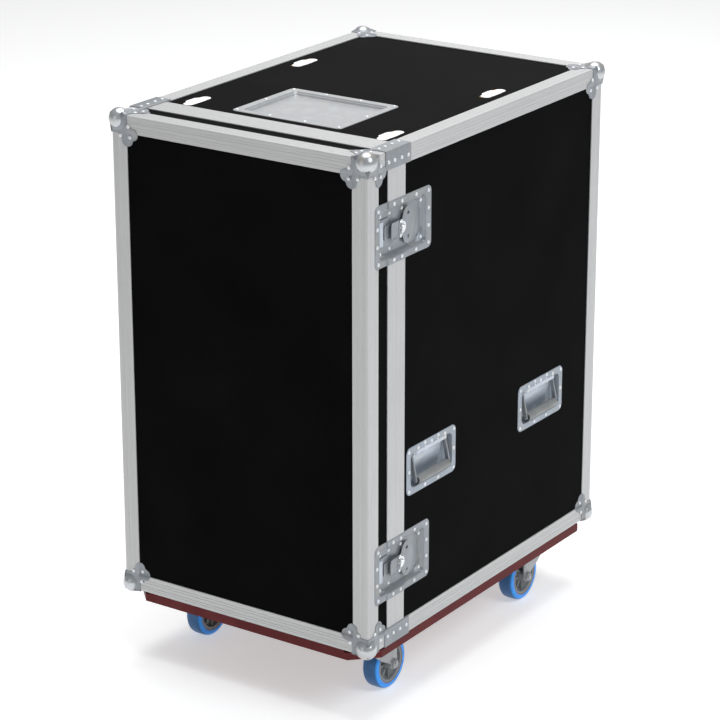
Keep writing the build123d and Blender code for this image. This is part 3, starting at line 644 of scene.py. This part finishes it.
def ball():
    """The ball's shell outside the case, in axes that run inward from the corner."""
    bm = bmesh.new()
    bmesh.ops.create_icosphere(bm, subdivisions=4, radius=BALL_R)
    bmesh.ops.translate(bm, vec=(BALL_IN,) * 3, verts=bm.verts)
    hidden = [f for f in bm.faces if all(min(v.co) > 1.0 for v in f.verts)]
    bmesh.ops.delete(bm, geom=hidden, context="FACES")
    made = bmesh.ops.extrude_face_region(bm, geom=bm.faces[:], use_keep_orig=True)
    centre = Vector((BALL_IN,) * 3)
    for part in made["geom"]:
        if isinstance(part, bmesh.types.BMVert):
            part.co = centre + (part.co - centre) * (1 - PLATE / BALL_R)
    return bm


corner_faces = [axes((0, 0, 0), (1, 0, 0), (0, 1, 0), (0, 0, -1)),
                axes((0, 0, 0), (0, 1, 0), (0, 0, 1), (-1, 0, 0)),
                axes((0, 0, 0), (0, 0, 1), (1, 0, 0), (0, -1, 0))]
corner_plates = gather(*[(corner_plate, m) for m in corner_faces])
corner_ball = ball()

for y, sy, node in ((FRONT, 1, "ball_corners_front"), (REAR, -1, "ball_corners_rear")):
    plates, balls = bmesh.new(), bmesh.new()
    for sx in (-1, 1):
        for z, sz in ((Z0, 1), (Z1, -1)):
            spot = axes((sx * HW, y, z), (-sx, 0, 0), (0, sy, 0), (0, 0, sz))
            stamp(plates, corner_plates, spot)
            stamp(balls, corner_ball, spot)
    piece(node + "_plates", plates, "zinc_steel", node, sharp=50)
    piece(node + "_domes", balls, "zinc_steel", node, material=POLISHED)

BRACE_T = 1.5
brace_profile = ([(-BRACE_T, 0.6), (-BRACE_T + 0.25, -0.8), (-0.8, -BRACE_T + 0.25), (0.6, -BRACE_T)]
                 + [(FLANGE - 0.4, -BRACE_T), (FLANGE, -BRACE_T + 0.4), (FLANGE, 0), (0, 0), (0, FLANGE),
                    (-BRACE_T + 0.4, FLANGE), (-BRACE_T, FLANGE - 0.4)])
for y0, y1, node in ((FRONT + 53, JOINT - GAP / 2, "brace_corners_lid"),
                     (JOINT + GAP / 2, FRONT + 131, "brace_corners_body")):
    bm = bmesh.new()
    for sx in (-1, 1):
        for z, up in ((Z0, 1), (Z1, -1)):
            extrude(bm, brace_profile, (sx * HW, y0, z), (sx * HW, y1, z), (-sx, 0, 0), (0, 0, up))
    piece(node + "_pressed", bm, "zinc_steel", node, bevel=0.35)

# ------------------------------------------------------------ rivets
rivet = turned([(3.6, -0.4), (3.6, 0.25), (3.25, 0.95), (2.4, 1.5), (1.2, 1.82), (0, 1.9)], 16)
small_rivet = turned([(2.0, -0.4), (2.0, 0.2), (1.5, 0.8), (0, 1.1)], 12)


def islands(node):
    """Points of each separate part of a CAD node with their lowest and highest corner, in millimetres."""
    bm = bmesh.new()
    bm.from_mesh(frame["nodes"][node].data)
    bmesh.ops.remove_doubles(bm, verts=bm.verts, dist=1e-6)
    left, found = set(bm.verts), []
    while left:
        stack, island = [left.pop()], []
        while stack:
            vert = stack.pop()
            island.append(vert.co / MM)
            for edge in vert.link_edges:
                other = edge.other_vert(vert)
                if other in left:
                    left.discard(other)
                    stack.append(other)
        found.append((island, Vector([min(p[i] for p in island) for i in range(3)]),
                      Vector([max(p[i] for p in island) for i in range(3)])))
    bm.free()
    return found


def rivet_seats(node):
    """Seat centre and outward direction of each rivet head of a CAD node, in millimetres."""
    seats = []
    for island, low, high in islands(node):
        centre, size = (low + high) / 2, high - low
        k = min(range(3), key=lambda i: size[i])
        wide = [max(((p - centre) - Vector([(p - centre)[i] if i == k else 0 for i in range(3)])).length
                    for p in island if abs(p[k] - end[k]) < 0.05) for end in (low, high)]
        outward = Vector((0, 0, 0))
        outward[k] = 1 if wide[0] > wide[1] else -1
        centre[k] = low[k] if wide[0] > wide[1] else high[k]
        seats.append((centre, outward))
    return seats


def settled(seat, outward):
    """A seat on pressed steel follows it down where the steel lies on a panel and not on a profile."""
    centre, half = Vector((0, (FRONT + REAR) / 2, ZM)), Vector((HW, HD, (Z1 - Z0) / 2))
    k = max(range(3), key=lambda i: abs(outward[i]))
    if abs(seat[k] - centre[k]) < half[k]:
        return seat
    others = [i for i in range(3) if i != k]
    on_profile = any(half[i] - abs(seat[i] - centre[i]) < FLANGE for i in others)
    on_profile = on_profile or (k != 1 and abs(seat.y - JOINT) < CLOSURE)
    return seat if on_profile else seat - outward * SHEET


def facing(origin, outward):
    """Axes whose w points outward."""
    outward = Vector(outward)
    side = Vector((0, 1, 0)) if abs(outward.y) < 0.5 else Vector((1, 0, 0))
    return axes(origin, side, outward.cross(side), outward)


for node in ("lid_rivets", "body_rivets"):
    bm = bmesh.new()
    for seat, outward in rivet_seats(node):
        stamp(bm, rivet, facing(settled(seat, outward), outward))
    piece(node + "_domed", bm, "rivet_steel", node)

# ------------------------------------------------------------ recessed latches
LATCH_U = (-68.0, 111.0)
LATCH_HALF = 57.0


def latch_shell():
    """Upper face of the whole latch pressing: stepped flange, sloping walls and raised corner seats."""
    half = POCKET_H / 2
    start, end = LATCH_U
    levels = [(start, end, LATCH_HALF, 11, PLATE - 0.7),
              (start + 0.5, end - 0.5, LATCH_HALF - 0.5, 10.5, PLATE),
              (-54.5, 96.5, half + 2.5, 10, PLATE), (-53.8, 95.8, half + 1.8, 9.5, PLATE + 0.5),
              (-52.8, 94.8, half + 0.8, 9, PLATE + 0.3), (-51.6, 93.6, half - 0.5, 8, -0.8),
              (-49.6, 91.2, half - 2.6, 6, -5.4), (-49.0, 90.5, half - 3.3, 26, -6.0),
              (-47.4, 88.6, half - 5.0, 25, -9.6), (-46.8, 88.0, half - 5.6, 24.5, -10.0)]
    bm = loft([at(rounded(u0, u1, -v, v, r, 8), w) for u0, u1, v, r, w in levels], caps=(False, True))
    edges = [-56.6, -55.4, -CLOSURE - 1.2, -CLOSURE, CLOSURE, CLOSURE + 1.2]
    split_at(bm, 0, edges)
    for vert in bm.verts:
        if vert.co.z > 0:
            u = vert.co.x
            low = smooth(u, *edges[:2]) - smooth(u, *edges[2:4]) + smooth(u, *edges[4:])
            vert.co.z -= SHEET * low
    return bm


case_dish, lid_dish = latch_shell(), latch_shell()
keep_above(case_dish, 0, GAP / 2)
keep_above(lid_dish, 0, -GAP / 2, -1)
thicken(case_dish, PLATE)
thicken(lid_dish, PLATE)

COVER_U, SPINDLE_U, PIVOT_U, PIVOT_W = 42.0, 22.0, 11.0, -0.2
COVER_A, COVER_B = 20.0, 34.0               # half axes of the cover plate


def ellipse(scale, steps, offset=0.0):
    """Points on a scaled copy of the cover plate's outline."""
    angles = [2 * math.pi * (k + offset) / steps for k in range(steps)]
    return [(COVER_U + COVER_A * scale * math.cos(a), COVER_B * scale * math.sin(a)) for a in angles]


def cover_height(u, v):
    """Upper face of the cover plate, flat with a turned-down edge."""
    return -4.3 + 0.5 * (1 - smooth(math.hypot((u - COVER_U) / COVER_A, v / COVER_B), 0.72, 1.0))


cover = pressed(ellipse(1.0, 40), cover_height, PLATE,
                holes=[arc(COVER_U, v, 3.2, 0, 345, 15) for v in (21.5, -21.5)]
                + [arc(SPINDLE_U + 0.5, 0, 8.6, 0, 350, 20)],
                points=[p for scale in (0.72, 0.8, 0.9) for p in ellipse(scale, 32, 0.5)])
post = turned([(3.5, -10.2), (3.5, -4.6)], 14)
slope = block((-46, -26, -10.2), (-14, 26, -7.6), 0.8)
lip = block((-44, -22, -8), (-33, 22, -6.2), 0.4)

boss = turned([(7, -9.6), (7, -3.6), (11, -3.6), (11.2, -3.2), (10.8, -2.6), (6, -2.5), (5.6, -1.6),
               (5.6, 0.4), (4.6, 1.4), (0, 1.9)])
nut_ring = turned([(8.2, -2.7), (8.2, -1.9), (7.6, -1.6), (6.2, -1.6), (6.2, -2.7)], 6, ring=True)
lug = gather(block((PIVOT_U - 2.5, 10.5, -3.6), (PIVOT_U + 2.5, 14.5, 1.8), 0.6),
             block((PIVOT_U - 2.5, 10.5, -3.6), (SPINDLE_U, 14.5, -2.6), 0.3))
mirror_v = Matrix.Diagonal((1, -1, 1, 1))
pin_axis = axes((PIVOT_U, 0, PIVOT_W), (1, 0, 0), (0, 0, -1), (0, 1, 0))
pin = turned([(1.5, -15.2), (2.3, -15.2), (2.3, -14.5), (1.5, -14.5), (1.5, 14.5), (2.3, 14.5),
              (2.3, 15.2), (0, 15.4)], 14)
flap_outline = rounded(-18, 8.2, -16.5, 16.5, 8, 6)
flap = loft([at(inset(flap_outline, 0.5), PIVOT_W - 0.8), at(flap_outline, PIVOT_W - 0.4),
             at(flap_outline, PIVOT_W + 1.0), at(inset(flap_outline, 0.5), PIVOT_W + 1.5),
             at(inset(flap_outline, 2.2), PIVOT_W + 1.5), at(inset(flap_outline, 3.0), PIVOT_W + 0.3),
             at(inset(flap_outline, 3.6), PIVOT_W + 0.2)])
flap_tongue = block((5, -9.8, PIVOT_W - 0.8), (PIVOT_U, 9.8, PIVOT_W + 0.8), 0.2)
barrel = turned(both_ends([(1.6, 10.1), (2.2, 10.1), (2.4, 9.8)]), 16, ring=True)
torsion = coil(2.9, 6, 1.3, 0.5)
spring_ends = [pin_axis @ Matrix.Translation((0, 0, w)) for w in (-9.6, 1.8)]
hook_outline = rounded(-30, 46, -13, 13, 4, 3)
slot_outline = rounded(6.3, 38.6, -7.6, 7.6, 5, 4)
hook = pressed(hook_outline, lambda u, v: -5.6, 1.4, holes=[slot_outline])
hook_lug = block((-5, -12, -9), (4, 12, -6.6), 0.4)

floor_rivets = [(84, 33.5, -6.0), (84, -33.5, -6.0), (30, 31, -10.0)]
keeper_rivets = [(-9, 32, -10.0), (-9, -32, -10.0), (-43.5, 34, -6.0), (-43.5, -34, -6.0)]
case_dishes, lid_dishes, lips, latch_heads, keeper_heads = (bmesh.new() for _ in range(5))
for name in latch_names:
    low, high = span(f"latch_spindle_{name}")
    side = 1 if low.x > 0 else -1
    spot = on_side(side, HW, JOINT, (low.z + high.z) / 2)
    stamp(case_dishes, gather(case_dish, cover, (post, Matrix.Translation((COVER_U, 27, 0))),
                              (post, Matrix.Translation((COVER_U, -27, 0)))), spot)
    stamp(lid_dishes, gather(lid_dish, slope), spot)
    stamp(lips, lip, spot)
    for u, v, w in floor_rivets:
        stamp(latch_heads, rivet, spot @ Matrix.Translation((u, v, w)))
    for u, v, w in keeper_rivets:
        stamp(keeper_heads, rivet, spot @ Matrix.Translation((u, v, w)))
    piece(f"latch_turnpiece_{name}", gather((boss, spot @ Matrix.Translation((SPINDLE_U, 0, 0))),
          (nut_ring, spot @ Matrix.Translation((SPINDLE_U, 0, 0))), (lug, spot),
          (lug, spot @ mirror_v), (pin, spot @ pin_axis)), "zinc_steel", f"latch_spindle_{name}",
          material=BRIGHT_ZINC)
    piece(f"latch_flap_{name}", gather((flap, spot), (flap_tongue, spot), (barrel, spot @ pin_axis)),
          "zinc_steel", f"latch_wing_{name}")
    piece(f"latch_springs_{name}", gather(*[(torsion, spot @ end) for end in spring_ends]), "zinc_steel",
          f"latch_wing_{name}", stands=False, material=BRIGHT_ZINC)
    piece(f"latch_slider_{name}", gather((hook, spot), (hook_lug, spot)), "zinc_steel", f"latch_hook_{name}")
piece("latch_dishes_pressed", case_dishes, "zinc_steel", "latch_dishes")
piece("latch_keepers_pressed", lid_dishes, "zinc_steel", "latch_keepers")
# Keeper lips in the lighter zinc: a painted highlight strip in the latch pocket.
piece("keeper_lips", lips, "zinc_steel", "latch_keepers", stands=False, material=ZINC_PAINTED_LIT)
piece("latch_floor_rivets", latch_heads, "rivet_steel", "latch_dishes", stands=False)
piece("keeper_floor_rivets", keeper_heads, "rivet_steel", "latch_keepers", stands=False)

# ------------------------------------------------------------ recessed handles
BAY_DEPTH, ARM_U, GRIP_R = 14.8, 55.0, 8.0
LEAN, ARM_L = math.radians(12.7), 48.0      # the bail hangs a little outwards
PIVOT = Vector((0, 25, -8))
bail_turn = Matrix.Translation(PIVOT) @ Matrix.Rotation(-LEAN, 4, "X")
handle_names = [f"{end}_{side}" for end in ("front", "rear") for side in ("right", "left")]
handle_dish = thicken(loft([at(centred(w, h, r, 7), z) for w, h, r, z in (
    (163, 92, 12, 0.5), (162, 91, 11.5, PLATE), (140.5, 69.5, 13, PLATE), (139.5, 68.5, 12.6, PLATE + 0.45),
    (138, 67, 12, PLATE + 0.3), (136.2, 65.2, 11, -0.9), (135.4, 64.4, 10.6, -10), (132.5, 61.5, 10, -13.2),
    (126, 55, 9, -BAY_DEPTH))], caps=(False, True)), PLATE)
hinge_cover = prism(rounded(-50, 50, 26.6, 34.5, 1.2, 3), 0.1, PLATE + 0.25, 0.4)


def back_height(u, v):
    """Back plate behind the grip: flat above, rolled down to the dish floor below."""
    t = min(max((14.0 - v) / 20.0, 0.0), 1.0)
    return -10.0 - 4.6 * (1 - math.cos(t * math.pi / 2)) - 0.8 * smooth(abs(u), 46, 49)


back_plate = pressed(rounded(-49, 49, -6, 32, 2, 3), back_height, 1.0,
                     creases=[[(-49, v), (49, v)] for v in (14, 11, 8, 5, 2, -1, -4)]
                     + [[(u, -6), (u, 32)] for u in (-47.5, -46, 46, 47.5)])
louvre = [block((u - 0.7, 15, -10.2), (u + 0.7, 26, -9.7), 0.2) for u in (-17, 5)]
arm = prism(arc(0, 0, 4, -90, 90, 8) + arc(-ARM_L, 0, 4, 90, 270, 8), -2, 2, 0.7)
core = turned([(3, -ARM_U), (3, ARM_U)], 16)
grip_half = [(3.05, 52.4), (6.4, 52.4), (7.5, 51.8), (GRIP_R, 50.6), (GRIP_R + 0.1, 25)]
grip = turned(both_ends(grip_half, [(GRIP_R + 0.15, 0)]), 32, ring=True)
cap_profile = [(3.05, 52.3), (7.3, 52.3), (7.3, 52.9), (6.8, 53.0), (3.05, 53.0)]
caps = gather(*[turned([(r, s * w) for r, w in cap_profile], ring=True) for s in (-1, 1)])
grip_axis = bail_turn @ Matrix.Translation((0, -ARM_L, 0)) @ ALONG_X
pivot = turned([(2.4, -6), (2.4, 6)], 16)
dishes, backs, pivots, handle_heads = (bmesh.new() for _ in range(4))
for name in handle_names:
    low, high = span(f"handle_grip_{name}")
    side = 1 if low.x > 0 else -1
    centre = (low + high) / 2
    spot = on_side(side, SKIN_X, centre.y, centre.z - PIVOT.y + ARM_L * math.cos(LEAN))
    stamp(dishes, handle_dish, spot)
    for part in (hinge_cover, back_plate, *louvre):
        stamp(backs, part, spot)
    for end in (-1, 1):
        stamp(pivots, pivot, spot @ Matrix.Translation(PIVOT + Vector((end * ARM_U, 0, 0))) @ ALONG_X)
    for u, v, w in [(-22, 42.2, PLATE), (22, 42.2, PLATE), (-43, 20, -10), (0, 20, -10), (43, 20, -10)]:
        stamp(handle_heads, rivet, spot @ Matrix.Translation((u, v, w)))
    for u in (-21, 21):
        stamp(handle_heads, small_rivet, spot @ Matrix.Translation((u, 35.4, PLATE)))
    swing = spot @ bail_turn
    bail = gather(*[(arm, swing @ Matrix.Translation((end * ARM_U, 0, 0)) @ ALONG_X) for end in (-1, 1)],
                  (core, spot @ grip_axis))
    piece(f"handle_bow_{name}", bail, "zinc_steel", f"handle_bail_{name}")
    piece(f"handle_sleeve_{name}", gather((grip, spot @ grip_axis)), "handle_grip", f"handle_grip_{name}")
    # The dark rings on the grip ends are painted shade.
    piece(f"handle_sleeve_ends_{name}", gather((caps, spot @ grip_axis)), "handle_grip",
          f"handle_grip_{name}", stands=False, material=GRIP_END_SHADE)
# The handle dishes take the bluer zinc: painted bluish light on the sides.
piece("handle_dishes_pressed", dishes, "zinc_steel", "handle_dishes", material=ZINC_PAINTED_BLUE_LIGHT, sharp=40)
# Back plates in the lighter zinc: painted light on the floor of the handle recess.
piece("handle_back_plates", backs, "zinc_steel", "handle_dishes", stands=False, material=ZINC_PAINTED_LIT)
piece("handle_hinge_pins", pivots, "zinc_steel", "handle_pivots")
piece("handle_extra_rivets", handle_heads, "rivet_steel", "handle_dishes", stands=False)

# ------------------------------------------------------------ label dish and inlays
low, high = span("label_dish")
dish_centre, (dish_w, dish_l) = (low + high) / 2, (high.x - low.x, high.y - low.y)
tray = thicken(loft([at(centred(dish_w - d, dish_l - d, r, 6), w) for d, r, w in (
    (0, 10, 0.5), (1, 9.5, PLATE), (28.5, 8.5, PLATE), (30, 8, PLATE - 0.1), (31.6, 7.4, PLATE - 0.9),
    (33.6, 7, -1.6), (34.6, 6.8, -1.9), (36.4, 6.5, -2.1), (39.6, 6, -5.2), (41.2, 5.6, -5.8))],
    caps=(False, True)), 1.0)
piece("label_dish_pressed", gather((tray, Matrix.Translation((dish_centre.x, dish_centre.y, Z1 - SHEET)))),
      "zinc_steel", "label_dish", material=PLAIN_ZINC)

inlays = bmesh.new()
FRONT_ROW = -150                            # inlays that start in front of this are mirrored
for _, low, high in islands("stacking_inlays"):
    middle = (low + high) / 2
    end, back = (1, 0) if low.y > FRONT_ROW else (-1, 3)
    spot = Matrix.Translation((middle.x, middle.y + back, Z1 - SHEET)) @ Matrix.Diagonal((1, end, 1, 1))
    stamp(inlays, prism(rounded(-8.5, 11.5, -34, 35, 9.4, 6), -0.4, 0.36, 0.15), spot)
    stamp(inlays, prism(rounded(-15, 12.4, -19, 20, 9, 6), -0.4, 0.34, 0.15), spot)
piece("stacking_inlays_moulded", inlays, "white_inlay", "stacking_inlays")

# ------------------------------------------------------------ castors
WHEEL_R, RIM_R = 50.0, 38.0
tyre_half = [(RIM_R, 15.2), (RIM_R + 1, 15.9), (WHEEL_R - 7, 16), (WHEEL_R - 3, 14.9), (WHEEL_R - 0.9, 12),
             (WHEEL_R - 0.1, 8)]
tyre_mesh = turned(both_ends(tyre_half, [(WHEEL_R, 0)]), 64, ring=True)
bond_profile = [(RIM_R - 0.9, 14.6), (RIM_R + 0.5, 15.1), (RIM_R + 0.7, 15.8), (RIM_R - 0.3, 15.9),
                (RIM_R - 1.2, 15.2)]
bond_mesh = gather(*[turned([(r, s * w) for r, w in bond_profile], 64, ring=True) for s in (-1, 1)])
hub_half = [(RIM_R, 0), (RIM_R, 14.6), (RIM_R - 1, 15.2), (33.6, 15.2), (32.4, 14.2), (31.6, 8), (29, 5),
            (16, 4.6), (13.2, 6), (12, 12), (11.6, 18.2), (11, 18.4), (5.06, 18.4)]
hub_mesh = turned(hub_half + [(r, -w) for r, w in reversed(hub_half)], 64, ring=True)
spoke = block((14, -1.4, -11), (32, 1.4, 11), 0.6)
spokes = gather(*[(spoke, Matrix.Rotation(math.radians(45 * k), 4, "Z")) for k in range(8)])

TRAIL, CROWN = 38.0, 103.0                  # axle behind the swivel, fork crown height
leg_outline = [(TRAIL - 10.6, 53)] + arc(TRAIL, WHEEL_R, 11, 165, 375, 16)
leg_outline += [(TRAIL + 11, 62), (TRAIL + 11, CROWN + 1.6), (-26.6, CROWN + 1.6), (-26.8, CROWN - 4)]
leg_outline += [(-27 + 15 * t ** 1.6, CROWN - 4 - 23 * t) for t in (0.25, 0.5, 0.75)]
leg_outline += [(-10.5, 76), (0, 68.5), (12, 62)]


def leg_height(y, z):
    """Fork leg: a raised strip above the axle stiffens it."""
    strip = smooth(y, TRAIL - 7, TRAIL - 5) * (1 - smooth(y, TRAIL + 5, TRAIL + 7)) * smooth(z, 62, 66)
    return 3.0 + 1.4 * strip


leg = pressed(leg_outline, leg_height, 3.0,
              creases=[[(TRAIL + d, 50), (TRAIL + d, CROWN)] for d in (-7, -6, -5, 5, 6, 7)]
              + [[(TRAIL - 10, z), (TRAIL + 11, z)] for z in (62, 64, 66)])
nut = turned([(9.2, 0), (9.2, 4.2), (8.4, 5), (5.2, 5), (5, 6.6), (0, 7)], 6)
washer = turned([(10.4, 0), (10.4, 0.9), (10, 1.2), (0, 1.2)], 28)
crown = prism(rounded(-22, 22, -29, 49, 6), CROWN, CROWN + 4, 0.8)
race = turned([(24, 107), (25.4, 107.4), (25.4, 108.6), (24, 109), (0, 109)], 40)
king = turned([(8.5, 96.5), (9.4, 97.5), (9.4, 103.2), (0, 103.4)], 6)
skirt = turned([(26.5, 109.4), (27, 109.8), (27, 116.8), (31, 117.4), (0, 117.6)], 40)
bolt_head = turned([(8.0, -5.5), (8.6, -4.8), (8.6, 0), (0, 0.1)], 6)
bolt_washer = turned([(9.0, -0.9), (9.0, 0), (0, 0.1)], 20)
axle_pin = turned([(5, -21.5), (5, 21.5)], 20)
plate_mesh = pressed(centred(80, 105, 6), lambda u, v: 3.0, 3.0,
                     holes=[arc(u, v, 4.5, 0, 340, 17) for u in (-30, 30) for v in (-40, 40)])

plates, bolts = bmesh.new(), bmesh.new()
for name in ("front_left", "front_right", "rear_left", "rear_right"):
    low, high = span(f"castor_tyre_{name}")
    axle = (low + high) / 2
    turn = 1 if name.startswith("front") else -1
    half_turn = Matrix.Rotation(0 if turn > 0 else math.pi, 4, "Z")
    swivel = Matrix.Translation((axle.x, axle.y - turn * TRAIL, 0)) @ half_turn
    wheel = Matrix.Translation(axle) @ ALONG_X
    fork = bmesh.new()
    for side in (-1, 1):
        end = on_side(side, 22, TRAIL, WHEEL_R)
        stamp(fork, leg, swivel @ on_side(side, 19, 0, 0))
        stamp(fork, washer, swivel @ end)
        stamp(fork, nut, swivel @ end @ Matrix.Translation((0, 0, 0.6)))
    for part in (crown, race, king):
        stamp(fork, part, swivel)
    stamp(fork, axle_pin, swivel @ on_side(1, 0, TRAIL, WHEEL_R))
    piece(f"castor_yoke_{name}", fork, "zinc_steel", f"castor_fork_{name}", material=PLAIN_ZINC, sharp=28)
    piece(f"castor_wheel_hub_{name}", gather((hub_mesh, wheel), (spokes, wheel)), "grey_nylon",
          f"castor_hub_{name}")
    piece(f"castor_tread_{name}", gather((tyre_mesh, wheel)), "blue_tyre", f"castor_tyre_{name}", sharp=60)
    piece(f"castor_bond_{name}", gather((bond_mesh, wheel)), "grey_nylon", f"castor_hub_{name}", stands=False,
          material=BOND)
    stamp(plates, plate_mesh, swivel @ Matrix.Translation((0, 0, 117)))
    stamp(plates, skirt, swivel)
    for u in (-30, 30):
        for v in (-40, 40):
            head = swivel @ Matrix.Translation((u, v, 117))
            stamp(bolts, bolt_head, head)
            stamp(bolts, bolt_washer, head)
piece("castor_top_plates", plates, "zinc_steel", "castor_plates", bevel=0.3)
piece("castor_hex_bolts", bolts, "zinc_steel", "castor_bolts")

# ------------------------------------------------------------ stage, light and camera
FLOOR = Finish("pale_floor", Roughness=0.9, Specular_IOR_Level=0.0, Emission_Color=(1, 1, 1, 1),
               Emission_Strength=0.46)
FLOOR.set(Base_Color=FLOOR.ramp(FLOOR.noise(0.4, 2.0), (0.3, (0.78, 0.78, 0.78)), (0.7, (0.82, 0.82, 0.82))))
floor_mesh = bpy.data.meshes.new("floor")
floor_mesh.from_pydata([(-30, -30, 0), (30, -30, 0), (30, 30, 0), (-30, 30, 0)], [], [(0, 1, 2, 3)])
floor_mesh.materials.append(FLOOR.material)
floor = bpy.data.objects.new("floor", floor_mesh)
bpy.context.scene.collection.objects.link(floor)


def area_light(name, place, target, size, power, colour=(1, 1, 1)):
    """Round soft light that faces a target."""
    lamp = bpy.data.lights.new(name, "AREA")
    lamp.shape, lamp.size, lamp.energy, lamp.color = "DISK", size, power, colour
    obj = bpy.data.objects.new(name, lamp)
    obj.location = place
    obj.rotation_euler = (Vector(target) - Vector(place)).to_track_quat("-Z", "Y").to_euler()
    bpy.context.scene.collection.objects.link(obj)


area_light("key", (4.2, -0.6, 4.4), (0, 0, 0.6), 3.0, 124, (0.90, 0.96, 1.0))
area_light("top", (-0.3, 0.6, 5.0), (0, 0, 1.0), 4.0, 185)
area_light("front_fill", (-1.4, -5.5, 2.2), (0, 0, 0.5), 3.0, 14)
area_light("rear_fill", (-2.5, 4.5, 3.0), (0, 0, 0.5), 3.0, 20)

world = bpy.data.worlds.new("studio")
world.use_nodes = True
world.node_tree.nodes["Background"].inputs["Color"].default_value = (1, 1, 1, 1)
world.node_tree.nodes["Background"].inputs["Strength"].default_value = 0.28
bpy.context.scene.world = world
bpy.context.scene.view_settings.view_transform = "Standard"

camera_data = bpy.data.cameras.new("camera")
camera_data.sensor_width, camera_data.lens = 36, 142.0
camera_data.clip_end = 100
camera = bpy.data.objects.new("camera", camera_data)
camera.location = (2.863, -4.215, 2.357)
camera.rotation_euler = [math.radians(a) for a in (70.29, 0.07, 34.26)]
bpy.context.scene.collection.objects.link(camera)
bpy.context.scene.camera = camera
